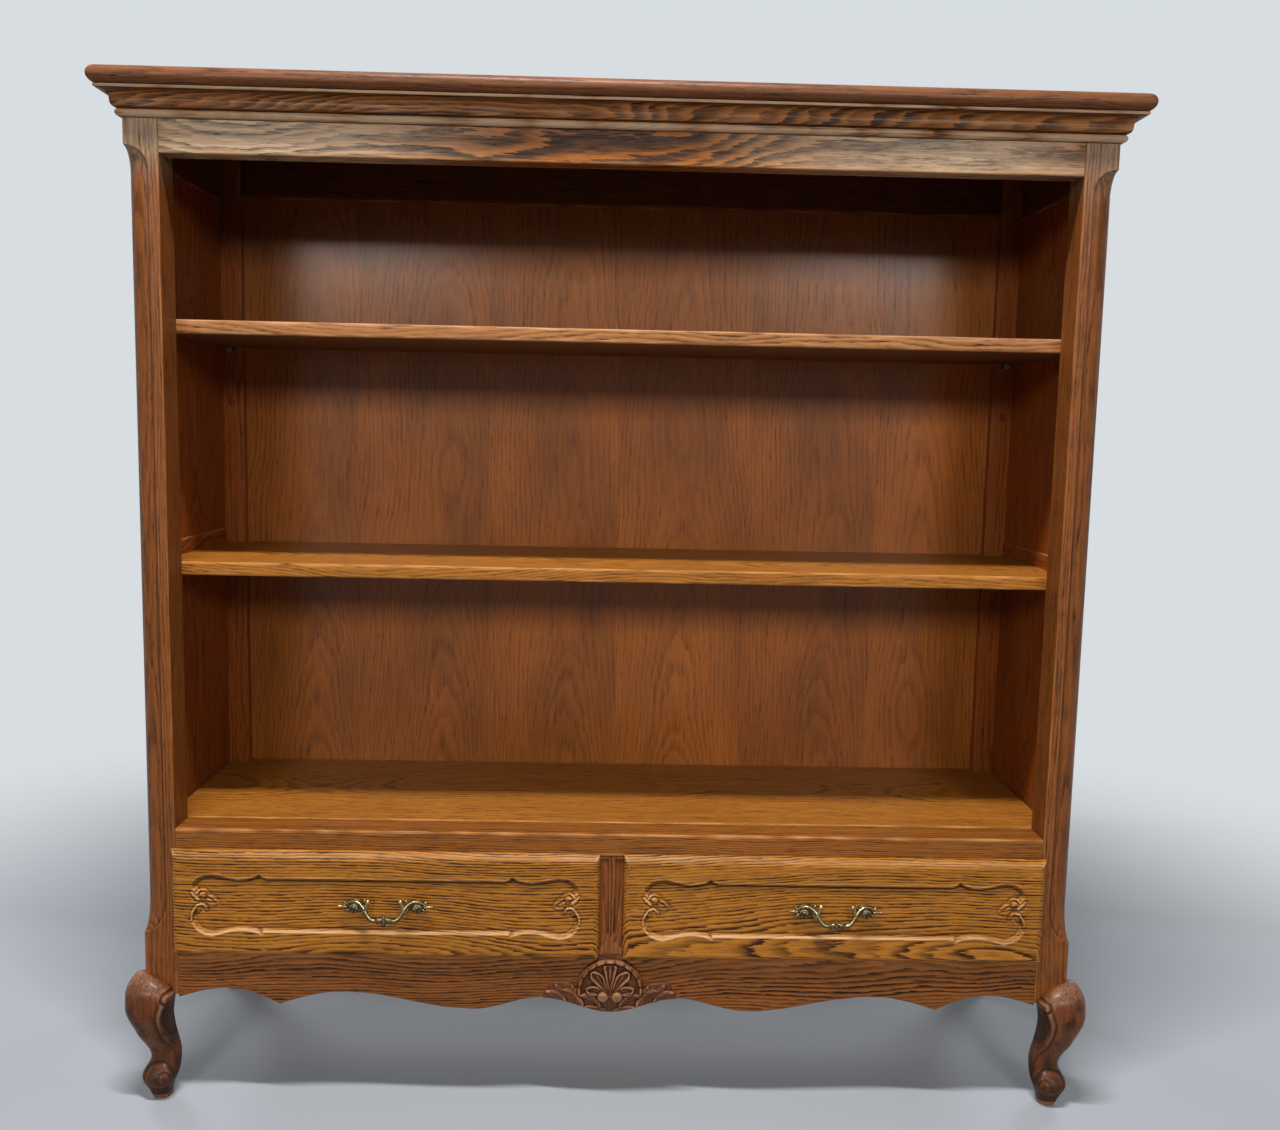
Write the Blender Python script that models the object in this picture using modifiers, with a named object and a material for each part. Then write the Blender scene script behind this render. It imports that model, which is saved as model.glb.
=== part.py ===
"""Open oak bookcase in the French provincial manner, with two drawers below three shelf bays.

Metres, +Z up.  The origin is on the floor under the middle of the whole piece, +X is to the right
of someone facing it and the front looks along -Y.  Heights stack up from the floor, and every piece
takes its place from the sizes below.
"""
import math

import bmesh
import bpy
from mathutils import Matrix, Vector

# Case
WIDTH = 1.440
DEPTH = 0.410
OVERHANG = 0.0365
POST_WIDTH = 0.050
FRONT_POST_DEPTH = 0.057
BACK_POST_DEPTH = 0.035

# Heights: the drawers' zone stacks up from the floor, and the shelf bays share what is left
HEIGHT = 1.552
LEG_HEIGHT = 0.173
APRON_RISE = 0.0735
DRAWER_OPENING = 0.157
DRAWER_RAIL_HEIGHT = 0.0355
FRIEZE_HEIGHT = 0.087
TOP_THICKNESS = 0.025
MIDDLE_SHELF_SHARE = 0.4046
UPPER_SHELF_SHARE = 0.7707

# Boards and rails
SHELF_THICKNESS = 0.021
FRIEZE_THICKNESS = 0.038
APRON_THICKNESS = 0.024
SIDE_RAIL_THICKNESS = 0.014
SIDE_RAIL_SETBACK = 0.0015
SIDE_MID_RAIL_HEIGHT = 0.0575
SIDE_MID_RAIL_RISE = 0.0255
SHELF_HOUSING = 0.005
SIDE_BOTTOM_RAIL_HEIGHT = 0.122
BACK_RAIL_THICKNESS = 0.022
BACK_TOP_RAIL_HEIGHT = 0.080
BACK_RAIL_SETBACK = 0.007
PANEL_THICKNESS = 0.006
PANEL_RECESS = 0.0015
PANEL_EDGE = 0.010
PANEL_FIELD_MARGIN = 0.038
PANEL_FIELD_RISE = 0.004
BACK_PANEL_THICKNESS = 0.006
BACK_PANEL_SETBACK = 0.012
GROOVE_DEPTH = 0.007
TENON_LENGTH = 0.022
TENON_THICKNESS = 0.009
SIDE_TENON_THICKNESS = 0.006
TENON_SHOULDER = 0.008
FACE_SETBACK = 0.0005

# Post corner moulding: a quirk, a round and a curved stop at each end
ROUND_WIDTH = 0.0347
ROUND_DEPTH = 0.030
QUIRK_DEPTH = 0.004
TOP_STOP_LENGTH = 0.034
FOOT_STOP_LENGTH = 0.055
STOP_BELOW_TOP = 0.076
STOP_ABOVE_LEG = 0.1006

# Cornice moulding under the top board: fillet, cove, band, quirk and bead from the top down
CORNICE_FILLET_OUT = 0.0285
CORNICE_FILLET_HEIGHT = 0.0045
CORNICE_COVE_OUT = 0.0240
CORNICE_COVE_HEIGHT = 0.0125
CORNICE_BAND_OUT = 0.0125
CORNICE_BAND_HEIGHT = 0.0105
CORNICE_QUIRK = 0.0030
CORNICE_BEAD_OUT = 0.0075
CORNICE_BEAD_HEIGHT = 0.0120

# Shelf pins and the plugs that fill old holes in the back posts
PIN_DIAMETER = 0.010
PIN_LENGTH = 0.034
PIN_DEPTH = 0.016
PIN_INSET = 0.017
PLUG_DIAMETER = 0.016
PLUG_DEPTH = 0.008
PLUG_INSET = 0.020
UPPER_PLUG_DROP = 0.1165
LOWER_PLUG_DROP = 0.0885

# Front legs: section width and distance proud of the post at shares of the leg's height
KNEE_RISE = 0.0405
KNEE_TOP_WIDTH = 0.074
KNEE_TOP_PROUD = 0.030
KNEE_ROUNDNESS = 0.7
KNEE_SHARE = 0.89
KNEE_WIDTH = 0.0700
KNEE_PROUD = 0.0298
SHANK_SHARE = 0.665
SHANK_WIDTH = 0.0545
SHANK_PROUD = 0.0169
ANKLE_SHARE = 0.39
ANKLE_WIDTH = 0.0428
ANKLE_PROUD = 0.0003
TOE_SHARE = 0.25
TOE_WIDTH = 0.0520
TOE_PROUD = 0.0112
HEEL_SHARE = 0.075
HEEL_WIDTH = 0.0335
HEEL_PROUD = 0.0018
PAD_WIDTH = 0.0270
PAD_PROUD = -0.0028
DOWEL_DIAMETER = 0.012
DOWEL_LENGTH = 0.060
BACK_FOOT_WIDTH = 0.036
BACK_FOOT_DEPTH = 0.028

# Drawers
CENTRE_POST_WIDTH = 0.046
CENTRE_POST_DEPTH = 0.030
LIP_OVERLAP = 0.005
LIP_THICKNESS = 0.0112
LIP_ROUND = 0.007
DRAWER_GAP = 0.0015
DRAWER_RUNNING_GAP = 0.0005
DRAWER_FRONT_BODY = 0.0105
DRAWER_SIDE_THICKNESS = 0.012
DRAWER_SIDE_HEIGHT = 0.136
DRAWER_BACK_THICKNESS = 0.010
DRAWER_BACK_CLEARANCE = 0.012
DRAWER_BOTTOM_THICKNESS = 0.006
DRAWER_BOTTOM_RISE = 0.010
DRAWER_GROOVE = 0.005
RUNNER_HEIGHT = 0.020
RUNNER_WIDTH = 0.032
GUIDE_HEIGHT = 0.040

# Drawer pulls
PULL_WIDTH = 0.145
PULL_CENTRES = 0.094
ROSETTE_WIDTH = 0.029
ROSETTE_HEIGHT = 0.023
ROSETTE_RISE = 0.0085
PULL_TIP_DIAMETER = 0.0055
BAIL_REACH = 0.027
BAIL_DROP = 0.017
BAIL_STANDOFF = 0.0180
BAIL_WIRE = 0.0030
BAIL_SWELL = 0.45
HORN_RISE = 0.011
HORN_LEAN = 0.0035
SCREW_DIAMETER = 0.004
SCREW_HEAD_DIAMETER = 0.008
SCREW_HEAD_HEIGHT = 0.0025

# Apron's lower edge: deepest drop below its top, and the other turns as shares of it
APRON_DROP = 0.0950
APRON_END_SHARE = 0.826
APRON_OUTER_ARCH_SHARE = 0.668
APRON_CUSP_SHARE = 0.926
APRON_INNER_ARCH_SHARE = 0.711
APRON_BELLY_SHARE = 0.984
APRON_NOTCH_SHARE = 0.768

# Carved shell
SHELL_THICKNESS = 0.006
SHELL_TOP_GAP = 0.0055
DOME_RADIUS = 0.0535
WING_REACH = 0.104
WING_TOP_DROP = 0.0456
WING_TIP_DROP = 0.0607
SHELL_LOBES = 5
LOBE_SPREAD = 150.0
LOBE_LENGTH = 0.047
LOBE_FOOT = 0.10
LOBE_CROWN = 0.28
LOBE_WIDTH = 0.021
LOBE_RISE = 0.0075
BALL_RADIUS = 0.0088
BALL_SPACING = 0.0109
BALL_DROP = 0.0711

# Fits and small edges
FIT = 0.0003
ARRIS = 0.0012
MERGE = 0.00001

# Places worked out from the sizes
HALF = WIDTH / 2
INNER = HALF - POST_WIDTH
FRONT = OVERHANG - (DEPTH + OVERHANG) / 2
BACK = FRONT + DEPTH
APRON_TOP = LEG_HEIGHT + APRON_RISE
RAIL_BOTTOM = APRON_TOP + DRAWER_OPENING
FLOOR_TOP = RAIL_BOTTOM + DRAWER_RAIL_HEIGHT
CASE_TOP = HEIGHT - TOP_THICKNESS
FRIEZE_BOTTOM = CASE_TOP - FRIEZE_HEIGHT
OPEN_HEIGHT = FRIEZE_BOTTOM - FLOOR_TOP
MIDDLE_TOP = FLOOR_TOP + OPEN_HEIGHT * MIDDLE_SHELF_SHARE
UPPER_TOP = FLOOR_TOP + OPEN_HEIGHT * UPPER_SHELF_SHARE
CORNICE_HEIGHT = CORNICE_FILLET_HEIGHT + CORNICE_COVE_HEIGHT + CORNICE_BAND_HEIGHT + CORNICE_BEAD_HEIGHT
POST_BACK = FRONT + FRONT_POST_DEPTH
BACK_POST_FRONT = BACK - BACK_POST_DEPTH
BACK_PANEL_BACK = BACK - BACK_PANEL_SETBACK
BACK_PANEL_FRONT = BACK_PANEL_BACK - BACK_PANEL_THICKNESS
BACK_RAIL_FRONT = BACK - BACK_RAIL_SETBACK - BACK_RAIL_THICKNESS
SIDE_RAIL_OUT = HALF - SIDE_RAIL_SETBACK
SIDE_RAIL_IN = SIDE_RAIL_OUT - SIDE_RAIL_THICKNESS
PANEL_IN = SIDE_RAIL_IN + PANEL_RECESS
BACK_RAIL_TOP = FLOOR_TOP - SHELF_THICKNESS
BACK_RAIL_BOTTOM = APRON_TOP - RUNNER_HEIGHT
SIDES = {"left": -1, "right": 1}


def finish(name, colour, roughness, metallic=0.0):
    """Plain material of one colour, roughness and metallic value."""
    material = bpy.data.materials.new(name)
    material.use_nodes = True
    shader = material.node_tree.nodes["Principled BSDF"]
    shader.inputs["Base Color"].default_value = (*colour, 1.0)
    shader.inputs["Roughness"].default_value = roughness
    shader.inputs["Metallic"].default_value = metallic
    return material


def place(mesh, name, material, location=(0, 0, 0), matrix=None):
    """Object for a mesh, in the part's collection, with one material."""
    obj = bpy.data.objects.new(name, mesh)
    mesh.materials.clear()
    mesh.materials.append(material)
    parts.objects.link(obj)
    obj.location = location
    if matrix is not None:
        obj.matrix_world = matrix
    return obj


def to_cutters(obj):
    """Turn an object into a guide that shapes others and is not a piece itself."""
    parts.objects.unlink(obj)
    cutters.objects.link(obj)
    obj.hide_render = True
    obj.display_type = "WIRE"
    return obj


def boolean(obj, other, operation):
    """Add a Boolean modifier that joins or cuts obj with other."""
    modifier = obj.modifiers.new(other.name, "BOOLEAN")
    modifier.operation = operation
    modifier.object = other
    return obj


def cut(obj, other):
    """Take the other solid out of obj."""
    return boolean(obj, other, "DIFFERENCE")


def join(obj, other):
    """Make obj and the other solid one body."""
    return boolean(obj, other, "UNION")


def ordered(a, b):
    """Two limits as (low, high)."""
    return (min(a, b), max(a, b))


def across(side, near, far):
    """Limits in X of a piece between two distances from the middle, on one side."""
    return ordered(side * near, side * far)


def box(name, x, y, z, material, arris=ARRIS):
    """Board between the limits x, y and z, its edges broken by a small flat."""
    bm = bmesh.new()
    bmesh.ops.create_cube(bm, size=1.0)
    bmesh.ops.scale(bm, vec=(x[1] - x[0], y[1] - y[0], z[1] - z[0]), verts=bm.verts)
    mesh = bpy.data.meshes.new(name)
    bm.to_mesh(mesh)
    bm.free()
    centre = ((x[0] + x[1]) / 2, (y[0] + y[1]) / 2, (z[0] + z[1]) / 2)
    obj = place(mesh, name, material, centre)
    if arris:
        bevel = obj.modifiers.new("Arris", "BEVEL")
        bevel.width = arris
        bevel.segments = 1
    return obj


def cutter_box(name, x, y, z, grow=0.0):
    """Box that cuts, grown on every side."""
    limits = [(low - grow, high + grow) for low, high in (x, y, z)]
    return to_cutters(box(name, *limits, oak, arris=0))


def cylinder(name, diameter, start, end, material, sides=16):
    """Round bar from one point to another."""
    start, end = Vector(start), Vector(end)
    bm = bmesh.new()
    bmesh.ops.create_cone(bm, cap_ends=True, segments=sides, radius1=diameter / 2,
                          radius2=diameter / 2, depth=(end - start).length)
    mesh = bpy.data.meshes.new(name)
    bm.to_mesh(mesh)
    bm.free()
    turn = (end - start).to_track_quat("Z", "Y").to_matrix().to_4x4()
    return place(mesh, name, material, matrix=Matrix.Translation((start + end) / 2) @ turn)


def smooth(obj, angle=40):
    """Shade a round piece smooth, keeping its sharp edges."""
    obj.data.shade_smooth()
    obj.data.set_sharp_from_angle(angle=math.radians(angle))
    return obj


def axes(origin, out, up):
    """Placing matrix whose X and Y run along out and up."""
    out, up = Vector(out), Vector(up)
    matrix = Matrix((out, up, out.cross(up))).transposed().to_4x4()
    matrix.translation = Vector(origin)
    return matrix


def arc(centre, radii, start, end, steps):
    """Points on an ellipse, angles in degrees, both ends included."""
    angles = [math.radians(start + (end - start) * i / steps) for i in range(steps + 1)]
    return [(centre[0] + radii[0] * math.cos(a), centre[1] + radii[1] * math.sin(a)) for a in angles]


def solid_from_curve(curve, name, material, matrix):
    """Mesh object made from a filled curve, with its caps welded on."""
    temporary = bpy.data.objects.new(name + "_curve", curve)
    parts.objects.link(temporary)
    temporary.matrix_world = matrix
    evaluated = temporary.evaluated_get(bpy.context.evaluated_depsgraph_get())
    mesh = bpy.data.meshes.new_from_object(evaluated)
    bm = bmesh.new()
    bm.from_mesh(mesh)
    bmesh.ops.remove_doubles(bm, verts=bm.verts, dist=MERGE)
    bmesh.ops.recalc_face_normals(bm, faces=bm.faces)
    bm.to_mesh(mesh)
    bm.free()
    obj = place(mesh, name, material, matrix=matrix)
    bpy.data.objects.remove(temporary)
    return obj


def outline_solid(name, points, thickness, matrix, material):
    """Flat outline, given as points, carried half the thickness to either side."""
    curve = bpy.data.curves.new(name, "CURVE")
    curve.dimensions = "2D"
    curve.fill_mode = "BOTH"
    curve.extrude = thickness / 2
    spline = curve.splines.new("POLY")
    spline.points.add(len(points) - 1)
    for point, (x, y) in zip(spline.points, points):
        point.co = (x, y, 0.0, 1.0)
    spline.use_cyclic_u = True
    return solid_from_curve(curve, name, material, matrix)


def swept_edge(knots, steps=5):
    """Points of an edge through knots (x, y, level).

    The edge runs level at a knot whose level is true and comes to a point at the others.
    """
    points = [knots[0][:2]]
    for (x0, y0, level0), (x1, y1, level1) in zip(knots, knots[1:]):
        for i in range(1, steps + 1):
            t = i / steps
            if level0 and level1:
                ease = (1 - math.cos(math.pi * t)) / 2
            elif level0:
                ease = 1 - math.cos(math.pi / 2 * t)
            else:
                ease = math.sin(math.pi / 2 * t)
            points.append((x0 + (x1 - x0) * t, y0 + (y1 - y0) * ease))
    return points


def loft(name, rings, material):
    """Closed body through rings of equally many points, capped at both ends."""
    bm = bmesh.new()
    rows = [[bm.verts.new(point) for point in ring] for ring in rings]
    count = len(rings[0])
    for low, high in zip(rows, rows[1:]):
        for i in range(count):
            j = (i + 1) % count
            bm.faces.new((low[i], low[j], high[j], high[i]))
    bm.faces.new(rows[0])
    bm.faces.new(rows[-1])
    bmesh.ops.recalc_face_normals(bm, faces=bm.faces)
    mesh = bpy.data.meshes.new(name)
    bm.to_mesh(mesh)
    bm.free()
    return place(mesh, name, material)


def slice_off(obj, point, normal):
    """Cut a solid by a plane in its own mesh and close it, dropping what the normal points to."""
    bm = bmesh.new()
    bm.from_mesh(obj.data)
    geometry = bm.verts[:] + bm.edges[:] + bm.faces[:]
    result = bmesh.ops.bisect_plane(bm, geom=geometry, plane_co=point, plane_no=normal, clear_outer=True)
    edges = [item for item in result["geom_cut"] if isinstance(item, bmesh.types.BMEdge)]
    bmesh.ops.edgeloop_fill(bm, edges=edges)
    bmesh.ops.recalc_face_normals(bm, faces=bm.faces)
    bm.to_mesh(obj.data)
    bm.free()
    return obj


def curve_through(knots, z):
    """Smooth value at z through knots (z, value) sorted from low to high, by cubic pieces."""
    for (z0, v0), (z1, v1) in zip(knots, knots[1:]):
        if z <= z1:
            break
    index = knots.index((z0, v0))
    before = knots[max(index - 1, 0)]
    after = knots[min(index + 2, len(knots) - 1)]
    slope0 = (v1 - before[1]) / (z1 - before[0])
    slope1 = (after[1] - v0) / (after[0] - z0)
    t = (z - z0) / (z1 - z0)
    span = z1 - z0
    h00 = 2 * t ** 3 - 3 * t ** 2 + 1
    h10 = t ** 3 - 2 * t ** 2 + t
    h01 = 3 * t ** 2 - 2 * t ** 3
    h11 = t ** 3 - t ** 2
    return h00 * v0 + h10 * span * slope0 + h01 * v1 + h11 * span * slope1


def tenon(rail, name, x, y, z, posts):
    """Add a tenon to a rail and its mortise to the posts it enters."""
    tongue = cutter_box(name + "_tenon", x, y, z)
    join(rail, tongue)
    hole = cutter_box(name + "_mortise", x, y, z, grow=FIT)
    for post in posts:
        cut(post, hole)


def build_posts():
    """Front posts with a moulded outer corner, and back posts that run down as the back feet."""
    pieces = {}
    for word, side in SIDES.items():
        front = box(f"front_post_{word}", across(side, INNER, HALF), (FRONT, POST_BACK),
                    (LEG_HEIGHT + FIT, CASE_TOP - FIT), dark_oak)
        top = CASE_TOP - STOP_BELOW_TOP
        bottom = LEG_HEIGHT + STOP_ABOVE_LEG
        cut(front, corner_cutter(f"round_{word}", side, bottom, top))
        pieces[f"front_{word}"] = front
        inner_foot = HALF - BACK_FOOT_WIDTH
        foot_front = BACK - BACK_FOOT_DEPTH
        rings = [rectangle(side, inner_foot, HALF, foot_front, BACK, 0.0),
                 rectangle(side, INNER, HALF, BACK_POST_FRONT, BACK, LEG_HEIGHT),
                 rectangle(side, INNER, HALF, BACK_POST_FRONT, BACK, CASE_TOP - FIT)]
        pieces[f"back_{word}"] = loft(f"back_post_{word}", rings, dark_oak)
    return pieces


def rectangle(side, near, far, front, back, z):
    """Four corners of a level section, X given as distances from the middle."""
    return [Vector((side * near, front, z)), Vector((side * far, front, z)),
            Vector((side * far, back, z)), Vector((side * near, back, z))]


def corner_cutter(name, side, bottom, top):
    """What is taken off a post's outer front corner.

    Its section is a quirk on the front face and a convex quarter of an ellipse to the side face.
    Towards each stop the section shrinks into the corner along a quarter of an ellipse.
    """
    margin = 0.006
    section = [(-margin, -margin), (ROUND_WIDTH, -margin), (ROUND_WIDTH, QUIRK_DEPTH)]
    round_points = arc((ROUND_WIDTH, ROUND_DEPTH), (ROUND_WIDTH, ROUND_DEPTH - QUIRK_DEPTH), 262, 180, 6)
    section += round_points + [(-margin, ROUND_DEPTH)]
    steps = 5
    turns = [math.pi / 2 * i / steps for i in range(steps + 1)]
    shares = [(1 - math.cos(turn), math.sin(turn)) for turn in turns]
    levels = [(bottom + FOOT_STOP_LENGTH * rise, size) for rise, size in shares]
    levels += [(top - TOP_STOP_LENGTH * rise, size) for rise, size in reversed(shares)]
    rings = []
    for z, size in levels:
        ring = []
        for u, v in section:
            u = u if u < 0 else max(u * size, 0.0004)
            v = v if v < 0 else max(v * size, 0.0004)
            ring.append(Vector((side * (HALF - u), FRONT + v, z)))
        rings.append(ring)
    return to_cutters(loft(name, rings, oak))


def build_legs(posts):
    """Cabriole front legs whose knees wrap the posts and whose round tenons enter them."""
    shares = (0.0, HEEL_SHARE, TOE_SHARE, ANKLE_SHARE, SHANK_SHARE, KNEE_SHARE, 1.0)
    widths = (PAD_WIDTH, HEEL_WIDTH, TOE_WIDTH, ANKLE_WIDTH, SHANK_WIDTH, KNEE_WIDTH, KNEE_TOP_WIDTH)
    prouds = (PAD_PROUD, HEEL_PROUD, TOE_PROUD, ANKLE_PROUD, SHANK_PROUD, KNEE_PROUD, KNEE_TOP_PROUD)
    width = [(share * LEG_HEIGHT, value) for share, value in zip(shares, widths)]
    proud = [(share * LEG_HEIGHT, value) for share, value in zip(shares, prouds)]
    for word, side in SIDES.items():
        rings = []
        steps = 17
        for i in range(steps + 1):
            z = LEG_HEIGHT * i / steps
            rings.append(leg_section(side, z, curve_through(proud, z), curve_through(width, z)))
        for t in (0.35, 0.62, 0.82, 0.94, 0.995):
            size = (1 - t * t) ** KNEE_ROUNDNESS
            rings.append(leg_section(side, LEG_HEIGHT + KNEE_RISE * t,
                                     (KNEE_TOP_PROUD + 0.003) * size - 0.003, KNEE_TOP_WIDTH * size))
        leg = smooth(loft(f"front_leg_{word}", rings, leg_oak))
        post_limits = (across(side, INNER - FIT, HALF + FIT), (FRONT - FIT, POST_BACK),
                       (LEG_HEIGHT, LEG_HEIGHT + KNEE_RISE * 2))
        cut(leg, cutter_box(f"post_foot_{word}", *post_limits))
        x = side * (HALF - POST_WIDTH / 2)
        y = FRONT + POST_WIDTH / 2
        start = Vector((x, y, LEG_HEIGHT - DOWEL_LENGTH / 4))
        end = Vector((x, y, LEG_HEIGHT + DOWEL_LENGTH / 2))
        join(leg, to_cutters(cylinder(f"dowel_{word}", DOWEL_DIAMETER, start, end, oak)))
        hole = cylinder(f"dowel_hole_{word}", DOWEL_DIAMETER + 2 * FIT, start, end + Vector((0, 0, FIT)), oak)
        cut(posts[f"front_{word}"], to_cutters(hole))


def leg_section(side, z, proud, width, count=20):
    """Rounded square section of a leg, its outer corner on the diagonal of the post."""
    half = width / 2
    x = HALF + proud - half
    y = FRONT - proud + half
    power = 0.78
    ring = []
    for i in range(count):
        a = 2 * math.pi * i / count
        c, s = math.cos(a), math.sin(a)
        u = math.copysign(abs(c) ** power, c)
        v = math.copysign(abs(s) ** power, s)
        ring.append(Vector((side * (x + half * u), y + half * v, z)))
    return ring


def build_sides(posts):
    """Framed side walls: three rails and two fielded panels between the posts on each side."""
    mid_top = MIDDLE_TOP + SIDE_MID_RAIL_RISE
    levels = {"bottom": (LEG_HEIGHT + FIT, LEG_HEIGHT + SIDE_BOTTOM_RAIL_HEIGHT),
              "mid": (mid_top - SIDE_MID_RAIL_HEIGHT, mid_top),
              "top": (FRIEZE_BOTTOM, CASE_TOP - FIT)}
    y = (POST_BACK + FIT, BACK_POST_FRONT - FIT)
    for word, side in SIDES.items():
        both = (posts[f"front_{word}"], posts[f"back_{word}"])
        rails = {}
        middle = (SIDE_RAIL_IN + SIDE_RAIL_OUT) / 2
        for level, z in levels.items():
            rail = box(f"side_{level}_rail_{word}", across(side, SIDE_RAIL_IN, SIDE_RAIL_OUT), y, z, oak)
            tongue_z = (z[0] + TENON_SHOULDER, z[1] - TENON_SHOULDER)
            tongue_x = across(side, middle - SIDE_TENON_THICKNESS / 2, middle + SIDE_TENON_THICKNESS / 2)
            tongue_y = (y[0] - TENON_LENGTH / 2, y[1] + TENON_LENGTH / 2)
            tenon(rail, f"side_{level}_{word}", tongue_x, tongue_y, tongue_z, both)
            rails[level] = rail
        for panel_word, low, high in (("lower", "bottom", "mid"), ("upper", "mid", "top")):
            z = (levels[low][1] - GROOVE_DEPTH, levels[high][0] + GROOVE_DEPTH)
            panel_y = (POST_BACK - GROOVE_DEPTH, BACK_POST_FRONT + GROOVE_DEPTH)
            x = across(side, PANEL_IN, PANEL_IN + PANEL_THICKNESS)
            groove = cutter_box(f"groove_{panel_word}_{word}", x, panel_y, z, grow=FIT)
            for piece in (*both, rails[low], rails[high]):
                cut(piece, groove)
            raise_field(box(f"side_{panel_word}_panel_{word}", x, panel_y, z, oak, arris=0), side)
        housing = (across(side, SIDE_RAIL_IN - SHELF_HOUSING, SIDE_RAIL_IN + SHELF_HOUSING), y,
                   (MIDDLE_TOP - SHELF_THICKNESS, MIDDLE_TOP))
        cut(rails["mid"], cutter_box(f"shelf_housing_{word}", *housing, grow=FIT))


def raise_field(panel, side):
    """Raise a field with sloping margins on a panel's outer face."""
    bm = bmesh.new()
    bm.from_mesh(panel.data)
    bm.faces.ensure_lookup_table()
    outer = [face for face in bm.faces if face.normal.x * side > 0.9]
    margin = PANEL_FIELD_MARGIN
    bmesh.ops.inset_region(bm, faces=outer, thickness=PANEL_EDGE)
    bmesh.ops.inset_region(bm, faces=outer, thickness=margin)
    bmesh.ops.translate(bm, vec=(side * PANEL_FIELD_RISE, 0, 0), verts=outer[0].verts)
    bm.to_mesh(panel.data)
    bm.free()


def build_back(posts):
    """Back rails and the thin back panel in its grooves."""
    both = (posts["back_left"], posts["back_right"])
    x = (-INNER + FIT, INNER - FIT)
    y = (BACK_RAIL_FRONT, BACK_RAIL_FRONT + BACK_RAIL_THICKNESS)
    middle = (y[0] + y[1]) / 2
    levels = {"bottom": (BACK_RAIL_BOTTOM, BACK_RAIL_TOP - FIT),
              "top": (CASE_TOP - BACK_TOP_RAIL_HEIGHT, CASE_TOP - FIT)}
    rails = {}
    for word, z in levels.items():
        rail = box(f"back_{word}_rail", x, y, z, oak)
        tongue = ((x[0] - TENON_LENGTH, x[1] + TENON_LENGTH),
                  (middle - TENON_THICKNESS / 2, middle + TENON_THICKNESS / 2),
                  (z[0] + TENON_SHOULDER, z[1] - TENON_SHOULDER))
        tenon(rail, f"back_{word}", *tongue, both)
        rails[word] = rail
    panel = ((-INNER - GROOVE_DEPTH, INNER + GROOVE_DEPTH), (BACK_PANEL_FRONT, BACK_PANEL_BACK),
             (levels["bottom"][1] - GROOVE_DEPTH, levels["top"][0] + GROOVE_DEPTH))
    groove = cutter_box("groove_back", *panel, grow=FIT)
    for piece in (*both, *rails.values()):
        cut(piece, groove)
    box("back_panel", *panel, veneer, arris=0)


def notch_back(board, name, z):
    """Cut a board's back corners to fit round the back posts."""
    for word, side in SIDES.items():
        cut(board, cutter_box(f"{name}_notch_{word}", across(side, INNER - FIT, HALF),
                              (BACK_POST_FRONT - FIT, BACK), z, grow=0.001))


def build_shelves(posts):
    """Floor board and two shelves; the middle one is housed in the side rails, the upper on pins."""
    y = (POST_BACK + FIT, BACK_PANEL_FRONT - FIT)
    ends = SIDE_RAIL_IN - FIT
    housed = SIDE_RAIL_IN + SHELF_HOUSING - FIT
    boards = (("floor_board", FLOOR_TOP, ends), ("middle_shelf", MIDDLE_TOP, housed),
              ("upper_shelf", UPPER_TOP, ends))
    for name, top, end in boards:
        z = (top - SHELF_THICKNESS, top)
        notch_back(box(name, (-end, end), y, z, oak), name, z)
    z = UPPER_TOP - SHELF_THICKNESS - FIT - PIN_DIAMETER / 2
    for word, side in SIDES.items():
        x = side * (INNER + PIN_INSET)
        for place_word, face, inward in (("front", POST_BACK, 1), ("back", BACK_POST_FRONT, -1)):
            start = (x, face - inward * PIN_DEPTH, z)
            tip = (x, face + inward * (PIN_LENGTH - PIN_DEPTH), z)
            cylinder(f"shelf_pin_{place_word}_{word}", PIN_DIAMETER, start, tip, steel)
            deeper = (x, face - inward * (PIN_DEPTH + FIT), z)
            mouth = (x, face + inward * PIN_DIAMETER, z)
            hole = cylinder(f"pin_hole_{place_word}_{word}", PIN_DIAMETER + 2 * FIT, deeper, mouth, oak)
            cut(posts[f"{place_word}_{word}"], to_cutters(hole))
        x = side * (INNER + PLUG_INSET)
        face = BACK_POST_FRONT
        plugs = {"upper": UPPER_TOP - UPPER_PLUG_DROP, "lower": MIDDLE_TOP - LOWER_PLUG_DROP}
        for level, z_plug in plugs.items():
            mouth = (x, face, z_plug)
            end = (x, face + PLUG_DEPTH, z_plug)
            cylinder(f"post_plug_{level}_{word}", PLUG_DIAMETER, mouth, end, plug_wood)
            before = (x, face - PLUG_DEPTH, z_plug)
            deeper = (x, face + PLUG_DEPTH + FIT, z_plug)
            hole = cylinder(f"plug_hole_{level}_{word}", PLUG_DIAMETER + 2 * FIT, before, deeper, oak)
            cut(posts[f"back_{word}"], to_cutters(hole))


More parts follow.
